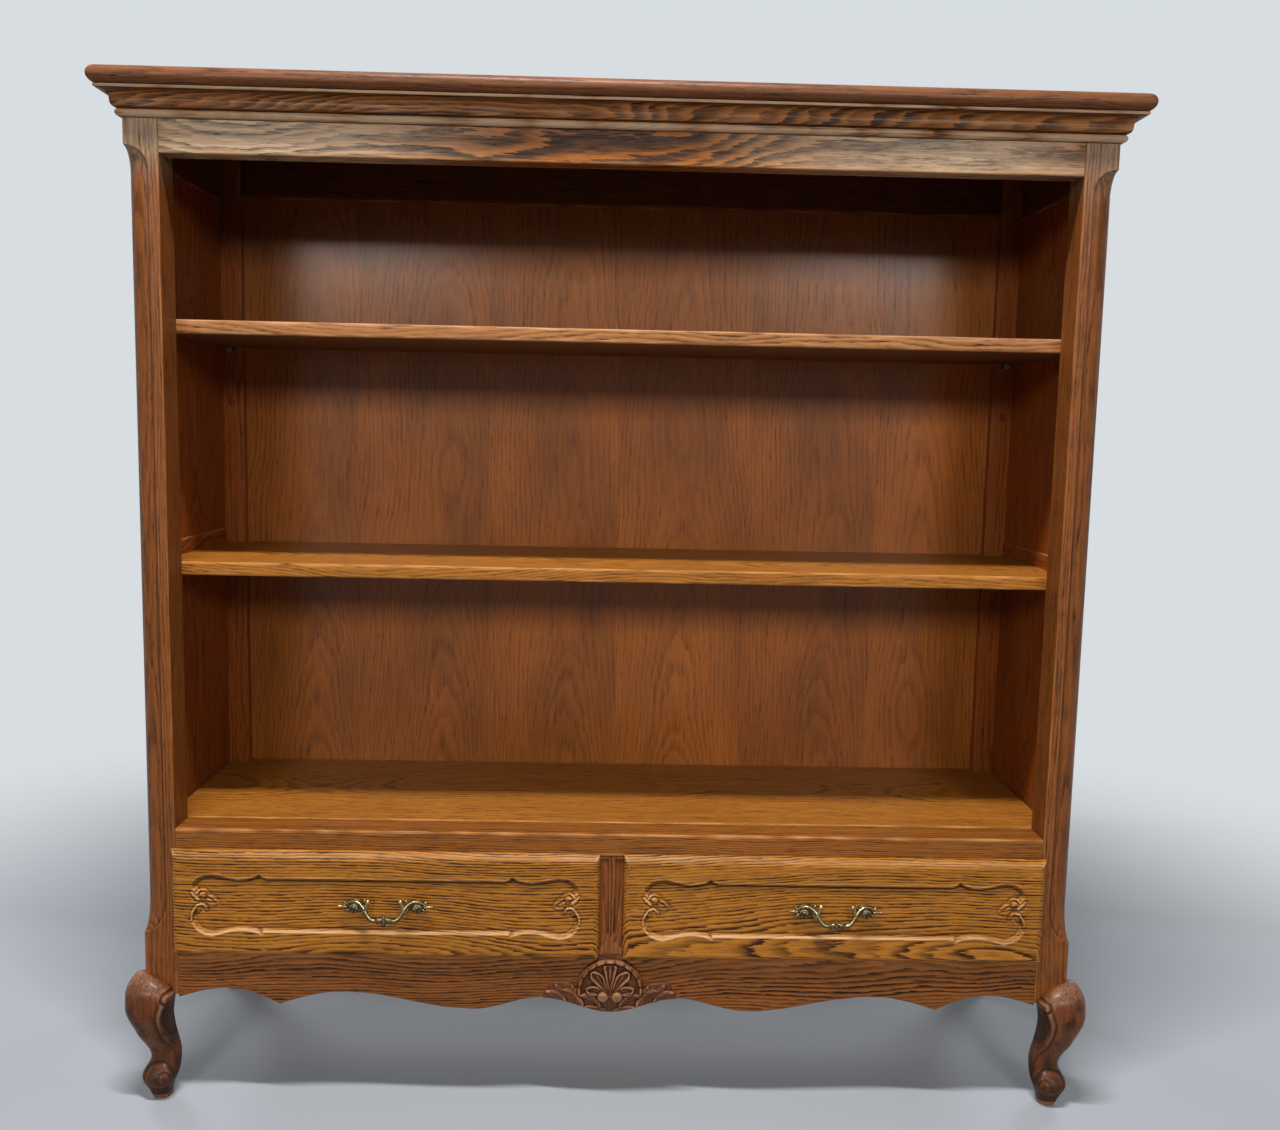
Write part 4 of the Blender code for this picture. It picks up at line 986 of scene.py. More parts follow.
            # The back top rail's inner face carries painted shade.
            board = Board(f"{node}_board", Way.X, *self.limits(node, self.inner - FIT), self.wall_round,
                          flats=(0, 0, self.shade * (level == "top"), 0))
            lay = Lay.of(node, Way.X, Way.Z, heart_depth=0.05, sway=0.06)
            place_case(board.build(), INSIDE_OAK, lay, node)
        lay = Lay.of("back_panel", Way.Z, Way.X, heart_depth=0.10, ring=0.0050, sway=0.050, taper=0.05,
                     leaf=0.235)
        dress_node("back_panel", VENEER_OAK.dress("back_panel", lay))

    def side_rail(self, node: str, side: float, shade: float) -> None:
        """One side rail between the posts.

        Args:
            node: Its CAD node.
            side: -1 on the left, 1 on the right.
            shade: Painted shade on its inner face.
        """
        low, high = corners(node)
        low[1] = self.post_back + FIT
        high[1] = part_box("back_post_left" if side < 0 else "back_post_right")[0][1] - FIT
        flats = (shade * (side < 0), 0, shade * (side > 0), 0)
        piece = Board(f"{node}_board", Way.Y, low, high, self.wall_round, flats=flats).build()
        place_case(piece, INSIDE_OAK, Lay.of(node, Way.Y, Way.Z, heart_across=0.03, heart_depth=0.08), node)

    def plug(self, node: str) -> None:
        """One plug: rings from its buried end to a low dome that stands just proud of the post.

        Args:
            node: Its CAD node.
        """
        low, high = corners(node)
        middle, radius = (low + high) / 2, (high[0] - low[0]) / 2 - FIT
        turn = full_turn(28)[None, :]
        rings = np.array([(1.0, 0.006, -0.6), (1.0, 0.0004, -0.6), (0.96, -0.0001, 0.4), (0.8, -0.0003, 0.1),
                          (0.5, -0.0004, 0.0), (0.2, -0.00045, 0.0), (0.02, -0.00045, 0.0)])
        reach, into, mark = [column[:, None] for column in rings.T]
        reach = radius * reach
        rows = np.stack([middle[0] + reach * np.cos(turn), low[1] + into + 0 * turn,
                         middle[2] + reach * np.sin(turn)], axis=-1)
        piece = Skin().loft(rows, mark + 0 * turn).build(f"{node}_dome", 50)
        lay = Lay.of(node, Way.Z, Way.X, heart_depth=0.02, ring=0.002)
        place_case(piece, PLUG_OAK, lay, node, "plug_wood")

    def back_post(self, word: str, side: float) -> None:
        """One back post, whose section narrows evenly towards the foot below the case.

        Args:
            word: Left or right.
            side: -1 on the left, 1 on the right.
        """
        node = f"back_post_{word}"
        leg_top = float(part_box(f"front_post_{word}")[0][2])
        low, high = corners(node)
        heights = np.concatenate([np.linspace(low[2], leg_top, 8), np.linspace(leg_top + 0.02, high[2], 40)])
        share = np.clip((heights - low[2]) / (leg_top - low[2]), 0, 1)
        width = (self.foot_width + (high[0] - low[0] - self.foot_width) * share)[:, None]
        depth = (self.foot_depth + (high[1] - low[1] - self.foot_depth) * share)[:, None]
        outer = side * (self.inner + (high[0] - low[0]))
        radius = 0.0016 * (1 + 0.3 * ripple(heights, len(node), 8.0))[:, None]
        columns = []
        for k, (sign_s, sign_t) in enumerate([(1, 1), (-1, 1), (-1, -1), (1, -1)]):
            angle = quarter_turn(4) + k * math.pi / 2
            u = -(sign_s < 0) * width - sign_s * radius + radius * np.cos(angle)
            v = high[1] - (sign_t < 0) * depth - sign_t * radius + radius * np.sin(angle)
            columns.append(np.stack([outer + side * u, v, heights[:, None] + 0 * u], axis=-1))
        piece = Skin().loft(np.concatenate(columns, axis=1), 0.25).build(f"{node}_bar")
        lay = Lay.of(node, Way.Z, Way.X, heart_across=0.03, heart_depth=0.06, sway=0.04)
        place_case(piece, INSIDE_OAK, lay, node, "dark_oak")


@dataclass
class FrontPosts:
    """Front posts, whose outer corner is a quirk and a round that end in curved stops."""

    round_width: float = 0.0347
    round_depth: float = 0.030
    quirk: float = 0.004
    top_stop: float = 0.034
    foot_stop: float = 0.055
    stop_below_top: float = 0.076
    stop_above_leg: float = 0.1006
    arris: float = 0.0014
    least: float = 0.045

    def share(self, z: Array, bottom: float, top: float) -> Array:
        """Size of the moulding at each height: a quarter of an ellipse at each stop, and 1 between.

        Args:
            z: Heights.
            bottom: Height at which the moulding ends below.
            top: Height at which it ends above.

        Returns:
            The size as a share.
        """
        rise = np.clip((z - bottom) / self.foot_stop, 0, 1)
        fall = np.clip((top - z) / self.top_stop, 0, 1)
        return bow(1 - np.minimum(rise, fall))

    def build(self) -> None:
        """Make both posts, each section from the inner face round the front to the back."""
        for word, side in SIDES.items():
            node = f"front_post_{word}"
            low, high = corners(node)
            outer = high[0] if side > 0 else low[0]
            case_top = high[2]
            bottom, top = low[2] + self.stop_above_leg, case_top - self.stop_below_top
            crowded = np.linspace(0, 1, 26) ** 2
            z = np.unique(np.concatenate([
                [low[2], low[2] + 0.0006], np.linspace(low[2] + 0.01, bottom - 0.002, 5),
                bottom + self.foot_stop * crowded, np.linspace(bottom + 0.06, top - 0.04, 34),
                top - self.top_stop * crowded, np.linspace(top + 0.002, case_top, 5)]))
            size = np.maximum(self.share(z, bottom, top), self.least)[:, None]
            u, v, tone = self.section(z, size, high[0] - low[0], high[1] - low[1])
            rows = np.stack([outer - side * u, low[1] + v, z[:, None] + 0 * u], axis=-1)
            piece = Skin().loft(rows, tone).build(f"{node}_bar", 34)
            lay = Lay.of(node, Way.Z, Way.X, heart_across=side * 0.05, heart_depth=0.10, ring=0.0036,
                         sway=0.022)
            place_case(piece, POST_OAK, lay, node, "dark_oak")

    def section(self, z: Array, size: Array, width: float, depth: float) -> tuple[Array, Array, Array]:
        """Section at each height, as distances in from the outer side and back from the front.

        The front meets the quirk at a small round, the quirk's floor dips, and the round is a
        quarter of an ellipse to the side face, all scaled by the moulding's size.

        Args:
            z: Heights.
            size: Size of the moulding at each.
            width: Width of the post.
            depth: Its depth.

        Returns:
            Distances in, distances back and tones, each as heights x points.
        """
        one = np.ones_like(size)
        r = self.arris * (1 + 0.25 * ripple(z, 5, 9.0))[:, None]
        quarter = quarter_turn(4)
        rw, rd, qd = self.round_width * size, self.round_depth * size, self.quirk * size
        small = np.minimum(0.0011, 0.3 * rw)
        arc = np.radians(np.linspace(257, 180, 10))[None, :]
        parts = [
            (width * one, r + 0.004, 0.0),
            (width - r + r * np.cos(quarter), r - r * np.sin(quarter), 0.8),
            (width - r - 0.003, 0 * one, 0.1),
            (rw + small + 0.002, 0 * one, 0.1),
            (rw + small - small * np.sin(quarter), small - small * np.cos(quarter), 0.9),
            # The quirk's floor is darkened as painted shade.
            (rw - 0.0002 * one * size, qd + 0.0014 * size, -1.0),
            (rw * 0.955, qd + 0.0012 * size, -0.8),
            (rw + rw * np.cos(arc), rd + (rd - qd) * np.sin(arc), 0.12),
            (0 * one, rd + 0.006, 0.1),
            (0 * one, depth - r, 0.3),
            (r, depth * one, 0.3),
            (width - r, depth * one, 0.3),
            (width * one, depth - r, 0.3)]
        u, v, tone = joined(parts)
        rub = 0.75 + 0.35 * ripple(z, 11, 12.0)[:, None]
        return u, v, np.where(tone > 0, tone * rub, tone * np.minimum(1, size * 1.5))


@dataclass
class Crown:
    """Top board with its round nose, and the cornice moulding below it."""

    fillet_out: float = 0.0285
    fillet_height: float = 0.0045
    cove_out: float = 0.0240
    cove_height: float = 0.0125
    band_out: float = 0.0125
    band_height: float = 0.0105
    quirk: float = 0.0034
    bead_out: float = 0.0075
    bead_height: float = 0.0120
    fillet_soft: float = 0.0008
    corner: float = 0.004

    def profile(self) -> tuple[Array, Array]:
        """Section of the moulding, as distance out and height below the top board, with each point's tone:
        painted shade in its dark lines, and wear with painted highlight on the fillet and bead.

        From the top: a fillet, a hollow quarter of an ellipse, a convex quarter, a quirk and a half round.

        Returns:
            Points as rows of two, and their tones.
        """
        def arc(cx: float, cz: float, rx: float, rz: float, start: float, end: float, count: int) -> Array:
            """Points on an ellipse between two angles in degrees."""
            turn = np.radians(np.linspace(start, end, count))
            return np.stack([cx + rx * np.cos(turn), cz + rz * np.sin(turn)], axis=1)
        cove_top = -self.fillet_height
        band_top = cove_top - self.cove_height
        bead_top = band_top - self.band_height
        soft, fillet = self.fillet_soft, self.fillet_out - self.fillet_soft
        bead_half = self.bead_height / 2
        # Tones below zero paint shade under the fillet, in the quirk and under the bead; the pale tones on
        # the fillet and bead are wear and painted highlight.
        runs = [
            (np.array([[FIT, -FIT], [self.fillet_out - 0.003, -FIT]]), 0.0),
            (arc(fillet, -FIT - soft, soft, soft, 90, 0, 3), 0.9),
            (arc(fillet, cove_top + soft, soft, soft, 0, -90, 3), 0.9),
            (np.array([[self.cove_out + 0.0012, cove_top], [self.cove_out + 0.0002, cove_top]]), -0.9),
            (arc(self.cove_out, band_top, self.band_out - self.cove_out, self.cove_height - 0.0004, 88, 4, 9),
             -0.05),
            (arc(self.band_out - self.quirk - 0.001, band_top - 0.0002, self.quirk + 0.001,
                 self.band_height - 0.001, 12, -70, 7), 0.25),
            (np.array([[self.bead_out - 0.0022, bead_top + 0.0004],
                       [self.bead_out - 0.0026, bead_top - 0.0004]]), -1.0),
            (arc(0.0015, bead_top - bead_half, self.bead_out - 0.0015, bead_half - 0.0003, 74, -80, 9), 0.75),
            (np.array([[FIT, bead_top - self.bead_height + 0.0002]]), -0.8)]
        points = np.concatenate([run for run, _ in runs])
        tones = np.concatenate([np.full(len(run), mark) for run, mark in runs])
        return points, tones

    def build(self) -> None:
        """Make the three mitred mouldings and the top board."""
        low, high = corners("front_post_right")
        half, front, level = high[0], low[1], float(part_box("top_board")[0][2])
        back = float(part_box("top_board")[1][1])
        points, tones = self.profile()
        out, below = points[:, 0][None, :], points[:, 1][None, :]
        marks = tones[None, :]
        share = np.linspace(-1, 1, 65)[:, None]
        rub = 0.85 + 0.4 * ripple(share[:, 0] * half, 3, 7.0)[:, None]
        wave = 0.00025 * ripple(share[:, 0] * half, 4, 5.0)[:, None]
        gap = FIT / 2
        rows = np.stack([share * (half + out - gap), front - out - wave * (out > 0.001),
                         level + below + 0 * share], axis=-1)
        piece = Skin().loft(rows, marks * np.where(marks > 0, rub, 1)).build("cornice_front_moulding", 30)
        lay = Lay.of("cornice_front", Way.X, Way.Z, heart_across=-0.008, heart_depth=0.030, ring=0.0062,
                     sway=0.05, taper=0.14)
        place_case(piece, CORNICE_OAK, lay, "cornice_front", "dark_oak")
        for word, side in SIDES.items():
            node = f"cornice_{word}"
            along = np.linspace(0, 1, 20)[:, None]
            y = back + (front - out + gap - back) * along
            rows = np.stack([side * (half + out) + 0 * along, y, level + below + 0 * along], axis=-1)
            piece = Skin().loft(rows, marks + 0 * y).build(f"{node}_moulding", 30)
            lay = Lay.of(node, Way.Y, Way.Z, heart_across=-0.02, heart_depth=0.04, ring=0.005)
            place_case(piece, CORNICE_OAK, lay, node, "dark_oak")
        self.top_board()

    def top_board(self) -> None:
        """Top board: loops round the board, drawn in by the nose's half round at each height."""
        low, high = corners("top_board")
        thick = high[2] - low[2]
        turn = np.radians(np.linspace(-90, 90, 15))
        reach = thick * 0.47
        middle = (low[2] + high[2]) / 2
        inset = np.concatenate([[0.05, reach + 0.006], reach * (1 - np.cos(turn)), [reach + 0.006, 0.05]])
        z = np.concatenate([[low[2]] * 2, middle + thick / 2 * np.sin(turn), [high[2]] * 2])
        share = np.linspace(-1, 1, 61)[None, :]
        draw = inset[:, None]
        corner = self.corner
        x_front = share * (high[0] - draw - corner)
        y_front = (low[1] + draw) * np.ones_like(share)
        bend = np.radians(np.linspace(270, 360, 6))[None, 1:-1]
        x_bend = high[0] - draw - corner + corner * np.cos(bend)
        y_bend = low[1] + draw + corner + corner * np.sin(bend)
        run = np.linspace(0, 1, 18)[None, :]
        y_side = low[1] + draw + corner + (high[1] - low[1] - draw - corner) * run
        x_side = (high[0] - draw) * np.ones_like(run)
        x = np.concatenate([x_front, x_bend, x_side, -x_side[:, ::-1], -x_bend[:, ::-1]], axis=1)
        y = np.concatenate([y_front, y_bend, y_side, y_side[:, ::-1], y_bend[:, ::-1]], axis=1)
        rows = np.stack([x, y, z[:, None] + 0 * x], axis=-1)
        nose = np.concatenate([[0, 0], 0.15 + 0.75 * np.maximum(0, np.sin(turn)) ** 2, [0.2, 0.1]])[:, None]
        tone = nose * (0.7 + 0.5 * ripple(x[0], 21, 6.0)[None, :])
        piece = Skin().loft(rows, tone).build("top_board_nosed", 34)
        lay = Lay.of("top_board", Way.X, Way.Y, heart_across=0.06, heart_depth=0.14, ring=0.005, sway=0.06)
        place_case(piece, TOP_OAK, lay, "top_board", "dark_oak")


@dataclass
class Apron:
    """Apron with its serpentine lower edge, and the shell carved at its middle.

    A knot of the edge is its place as a share of the half width, its depth as a share of the apron's,
    and whether the edge runs level there or comes to a point.  A petal is its direction and half its
    spread in degrees, and its length.  A leaf is its two ends, its sag, half its width and its rise.
    """

    knots: tuple = ((1.0, 0.826, False), (0.888, 0.668, True), (0.768, 0.926, False), (0.619, 0.711, True),
                    (0.320, 0.984, True), (0.156, 0.768, True), (0.0, 1.0, True))
    lower_round: float = 0.0030
    upper_round: float = 0.0010
    dome: float = 0.0535
    dome_gap: float = 0.0055
    wing_reach: float = 0.104
    hub_drop: float = 0.0668
    ball: float = 0.0088
    ball_spacing: float = 0.0109
    petals: tuple = ((0, 14, 0.0585), (31, 17, 0.0530), (-31, 17, 0.0530), (67, 20, 0.0420),
                     (-67, 20, 0.0420))
    leaves: tuple = ((0.1010, -0.0600, 0.0680, -0.0760, 0.0050, 0.0056, 0.0052),
                     (0.0860, -0.0480, 0.0600, -0.0680, -0.0030, 0.0060, 0.0040),
                     (0.0740, -0.0560, 0.0410, -0.0830, 0.0045, 0.0062, 0.0056),
                     (0.0600, -0.0500, 0.0470, -0.0640, -0.0020, 0.0058, 0.0038),
                     (0.0480, -0.0660, 0.0140, -0.0835, 0.0065, 0.0060, 0.0054),
                     (0.0400, -0.0850, 0.0060, -0.0900, 0.0020, 0.0036, 0.0030))

    def __post_init__(self) -> None:
        """Read the apron's place from the frame."""
        low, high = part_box("apron")
        self.top, self.deep = float(high[2]), float(high[2] - low[2])
        self.face, self.back = float(low[1]), float(high[1])
        self.half = float(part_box("front_post_right")[0][0]) - FIT

    def edge(self, x: Array) -> Array:
        """Lower edge, which eases level at a knot by a cosine or comes to a point there.

        Args:
            x: Places across.

        Returns:
            Its height at each place.
        """
        share = np.abs(x) / self.half
        result = np.zeros_like(share)
        for (s0, d0, level0), (s1, d1, level1) in zip(self.knots, self.knots[1:]):
            t = (s0 - share) / (s0 - s1)
            if level0 and level1:
                eased = (1 - np.cos(math.pi * t)) / 2
            elif level0:
                eased = 1 - np.cos(math.pi / 2 * t)
            else:
                eased = np.sin(math.pi / 2 * t)
            result = np.where((share <= s0) & (share >= s1), d0 + (d1 - d0) * eased, result)
        return self.top - result * self.deep

    def board(self) -> None:
        """Apron board: at each X a section runs down the front, round the lower edge and up the back."""
        cusps = [self.half * knot[0] for knot in self.knots[1:-1] if not knot[2]]
        x = np.linspace(0, self.half, 260)
        x = np.unique(np.concatenate([x, cusps, -x, [-c for c in cusps]]))
        low = self.edge(x)[:, None]
        r = self.lower_round * (1 + 0.3 * ripple(x, 8, 12.0))[:, None]
        turn = quarter_turn(6)
        soft = self.upper_round
        one = np.ones_like(low)
        y, z, tone = joined([
            ((self.face + soft) * one, self.top * one, 0.2),
            (self.face * one, (self.top - soft) * one, 0.6),
            (self.face * one, low + r + 0.010, 0.0),
            (self.face * one, low + r + 0.004, 0.05),
            (self.face + r - r * np.cos(turn), low + r - r * np.sin(turn), 0.55),
            ((self.back - 0.001) * one, low, 0.2),
            (self.back * one, low + 0.001, 0.2),
            (self.back * one, self.top * one, 0.0)])
        rows = np.stack([x[:, None] + 0 * y, y, z], axis=-1)
        piece = Skin().loft(rows, tone).build("apron_board", 40)
        lay = Lay.of("apron", Way.X, Way.Z, heart_across=0.060, heart_depth=0.070, ring=0.0044, sway=0.050,
                     taper=0.04)
        place_case(piece, APRON_OAK, lay, "apron")

    def carving(self, x: Array, z: Array) -> Array:
        """Relief of the shell above its ground.

        A beaded ring follows the dome.  Inside it five hollow petals fan out from the hub, over two
        balls.  The wings are leaves whose veins sweep down to the middle.

        Args:
            x: Places across.
            z: Heights from the apron's top, negative below it.

        Returns:
            The relief's height.
        """
        centre = -(self.dome_gap + self.dome)
        reach = np.hypot(x, z - centre)
        around = np.degrees(np.arctan2(x, z - centre))
        bead = np.abs(((around + 9.0) / 18.0) % 1.0 - 0.5) * 2
        ring = bump(reach - (self.dome - 0.0052), 0.0036) * (0.0034 + 0.0036 * bow(bead))
        ring *= ease(z, centre - 0.016, centre - 0.004)
        fan = self.fan(x, z) * ease(self.dome - 0.0090 - reach, 0.0, 0.002)
        balls = np.zeros_like(x)
        for side in (-1, 1):
            gap = np.hypot(x - side * self.ball_spacing, z + self.hub_drop - 0.001) / self.ball
            balls = np.maximum(balls, 0.0050 * (gap < 1) + 0.0065 * bow(gap))
        return np.maximum.reduce([ring, fan, balls, self.wings(np.abs(x), z)])

    def fan(self, x: Array, z: Array) -> Array:
        """Relief of the petals, sectors about the hub with a raised rim, ribs and a pointed tip.

        Args:
            x: Places across.
            z: Heights from the apron's top.

        Returns:
            The highest petal's height.
        """
        hub = np.hypot(x, z + self.hub_drop)
        angle = np.degrees(np.arctan2(x, z + self.hub_drop))
        fan = np.zeros_like(x)
        for middle, spread, length in self.petals:
            off = (angle - middle) / spread
            point, power = (0.30, 1.3) if middle else (0.16, 2)
            tip = length * (1 - point * np.minimum(np.abs(off - 0.25 * np.sign(middle)), 1.2) ** power)
            inside = ease(1.08 - np.abs(off), 0.0, 0.25) * ease(tip - hub, 0.0, 0.003)
            rim = bump((np.abs(off) - 0.80) * hub / 0.052, 0.18) + bump((tip - hub) - 0.0034, 0.0032)
            ribs = 0.0011 * np.cos(off * 9.5) * ease(hub, 0.010, 0.022) * (1 - np.minimum(rim, 1.0))
            fan = np.maximum(fan, inside * (0.0034 + ribs + 0.0030 * np.minimum(rim, 1.2)))
        return fan

    def wings(self, ax: Array, z: Array) -> Array:
        """Relief of the wings' leaves, half round bars that narrow to both ends of a sagging line.

        Args:
            ax: Distances from the middle.
            z: Heights from the apron's top.

        Returns:
            The highest leaf's height.
        """
        strokes = np.zeros_like(ax)
        for x0, z0, x1, z1, sag, wide, rise in self.leaves:
            span = math.hypot(x1 - x0, z1 - z0)
            ux, uz = (x1 - x0) / span, (z1 - z0) / span
            t = ((ax - x0) * ux + (z - z0) * uz) / span
            across = -(ax - x0) * uz + (z - z0) * ux + sag * 4 * t * (1 - t)
            girth = wide * np.sqrt(np.clip(1 - np.abs(2 * t - 1) ** 2.4, 0, 1)) + 1e-5
            body = bow(across / girth) * (girth > 0.0004)
            strokes = np.maximum(strokes, rise * body * (1 - 0.25 * bump(across / girth - 0.35, 0.2)))
        return strokes

    def shell(self) -> None:
        """Shell: a relief between its upper outline, the dome or the wings, and the apron's lower edge."""
        x = np.linspace(-self.wing_reach, self.wing_reach, 300)
        ax = np.abs(x)
        centre = -(self.dome_gap + self.dome)
        dome = np.where(ax < self.dome, centre + np.sqrt(np.clip(self.dome ** 2 - ax ** 2, 0, None)), -1.0)
        swell = np.sin(np.clip((ax - 0.050) / 0.040, 0, 1.2) * math.pi * 0.62)
        wing = -0.0520 + 0.0070 * swell
        wing = wing - 0.0150 * ease(ax, 0.090, self.wing_reach) - 0.018 * ease(0.060 - ax, 0, 0.02)
        top = self.top + np.maximum(dome, wing)
        bottom = self.edge(x) + FIT
        share = np.linspace(0, 1, 150)[:, None]
        z = bottom + (top - bottom) * share
        grid_x = np.broadcast_to(x, z.shape)
        height = self.carving(grid_x, z - self.top)
        border = np.minimum((top - z), (z - bottom))
        height = height * ease(border, -0.0005, 0.0022) + 0.0030 * ease(border, 0.0, 0.0018)
        front = np.stack([grid_x, self.face - FIT - 0.0008 - height, z], axis=-1)
        balls = np.hypot(ax - self.ball_spacing, z - self.top + self.hub_drop - 0.001)
        # Tone: painted shade in the hollows, wear on the raised parts, and paler balls.
        tone = wear_and_hollow_shade(height, 5, 700.0) + 0.5 * ease(self.ball - balls, 0.0, 0.003)
        piece = Skin().relief(front, self.face - FIT, np.clip(tone, -1, 1)).build("shell_carving", 55)
        lay = Lay.of("apron_shell", Way.X, Way.Z, heart_across=0.10, heart_depth=0.05, ring=0.004, sway=0.03)
        place_piece(piece, "case", CARVED_OAK.dress("shell", lay), "leg_oak", "apron_shell")


@dataclass
class Legs:
    """Cabriole front legs with a beaded inner edge that runs from a scroll at the knee to one at the toe.

    A knot of the leg is its height as a share, its width, and how far it stands out from the post.  The
    ridge is given as rows of height and X, and the middles of the scrolls as X and height.
    """

    knee_rise: float = 0.0360
    power: float = 0.70
    knots: tuple = ((0.0, 0.0270, -0.0028), (0.075, 0.0335, 0.0018), (0.225, 0.0520, 0.0112),
                    (0.36, 0.0428, 0.0003), (0.655, 0.0545, 0.0169), (0.89, 0.0700, 0.0298),
                    (1.0, 0.0740, 0.0300))
    ridge: tuple = ((0.050, 0.6725), (0.0625, 0.6730), (0.0815, 0.6770), (0.103, 0.6870), (0.129, 0.6925),
                    (0.146, 0.6930), (0.160, 0.6890), (0.172, 0.6860))
    knee_at: tuple[float, float] = (0.6800, 0.1740)
    toe_at: tuple[float, float] = (0.7020, 0.0400)
    eye_at: tuple[float, float] = (0.6935, 0.0385)

    def build(self) -> None:
        """Make both legs."""
        for word, side in SIDES.items():
            self.leg(word, side)

    def leg(self, word: str, side: float) -> None:
        """One leg: rounded square sections up the leg, pushed out or in by the carving.

        Args:
            word: Left or right.
            side: -1 on the left, 1 on the right.
        """
        low, high = corners(f"front_post_{word}")
        half, front, height = max(abs(low[0]), abs(high[0])), low[1], low[2] - FIT
        knee = height + self.knee_rise * np.sin(np.linspace(0, 1, 34)[1:] * 1.53)
        z = np.concatenate([np.linspace(0, height, 130), knee])
        shape = through(list(self.knots), np.clip(z / height, 0, 1))
        rise = np.clip((z - height) / self.knee_rise, 0, 0.9985)
        dome = np.where(z > height, (1 - rise ** 2) ** 0.62, 1.0)
        width = shape[:, 0] * dome
        proud = np.where(z > height, (shape[:, 1] + 0.003) * dome - 0.003, shape[:, 1])
        turn = full_turn(112)[None, :]
        c, s = np.cos(turn), np.sin(turn)
        u, v = np.sign(c) * np.abs(c) ** self.power, np.sign(s) * np.abs(s) ** self.power
        r, up = (width / 2)[:, None], z[:, None]
        lean = 0.30 * shape[:, 0] * (1 - dome) / 2
        x = (half + proud - width / 2 + lean)[:, None] + r * u
        y = (front - proud + width / 2)[:, None] + r * v
        push = self.carving(x, up, turn)
        length = np.hypot(u, v)
        x, y = x + push * u / length, y + push * v / length
        rows = np.stack([side * x, y, up + 0 * x], axis=-1)
        line = through(list(self.ridge), z)[:, None]
        # Tone: painted shade in the carving's hollows and on the inner face below the knee, wear with a
        # painted sheen on the front of the knee top, wear on the foot's pad, and darker towards the foot.
        inner = ease(line - x, 0.0, 0.003) * ease(0.170 - up, 0.0, 0.02)
        tone = wear_and_hollow_shade(push, 3, 1100.0) + 0.75 * ease(up, 0.165, 0.20) * ease(-s, 0.0, 0.8) - 0.8 * inner
        tone = np.where(up < 0.007, 0.8, tone - 0.95 * ease(0.085 - up, 0.0, 0.035))
        piece = Skin().loft(rows, np.clip(tone, -1, 1)).build(f"front_leg_{word}_carved", 60)
        lay = Lay.of(f"front_leg_{word}", Way.Z, Way.X, heart_across=side * 0.06, heart_depth=0.05,
                     ring=0.0030, sway=0.02)
        place_piece(piece, "case", LEG_OAK.dress(f"leg_{word}", lay), "leg_oak", f"front_leg_{word}")

    def carving(self, x: Array, z: Array, turn: Array) -> Array:
        """How far each point is pushed out: the bead and its groove, the knee scroll and the toe scroll.

        Args:
            x: Distance from the case's middle.
            z: Height.
            turn: Angle round the section, a half turn being the inner side.

        Returns:
            The push of each point in metres.
        """
        s = np.sin(turn)
        apart = x - through(list(self.ridge), z[:, 0])[:, None]
        run = ease(z, 0.050, 0.062) * ease(0.176 - z, 0.0, 0.012)
        bead = 0.0014 * bump(apart, 0.0032) - 0.0014 * bump(apart - 0.0052, 0.0017)
        push = run * ease(-s, 0.0, 0.5) * bead
        inner = ease(turn, math.radians(105), math.radians(135))
        push = push - 0.0026 * run * ease(-apart, 0.0025, 0.0060) * inner
        facing = ease(-s, -0.10, 0.25)
        knee = np.hypot(x - self.knee_at[0], (z - self.knee_at[1]) * 0.92)
        disc = 0.0012 * ease(0.0074 - knee, 0.0, 0.0020)
        push = push + facing * (disc - 0.0022 * bump(knee - 0.0084, 0.0013))
        toe = np.hypot(x - self.toe_at[0], z - self.toe_at[1])
        groove = ease(z, 0.030, 0.044) * bump(toe - 0.0218, 0.0017)
        push = push + facing * (0.0020 * ease(0.0205 - toe, 0.0, 0.0050) - 0.0024 * groove)
        eye = np.hypot(x - self.eye_at[0], z - self.eye_at[1])
        coil = np.arctan2(z - self.eye_at[1], x - self.eye_at[0])
        groove = bump(eye - 0.0092, 0.0013) * ease(np.cos(coil - 0.9), -0.85, -0.3)
        return push + facing * (0.0005 * ease(0.0090 - eye, 0.0, 0.0050) - 0.0014 * groove)


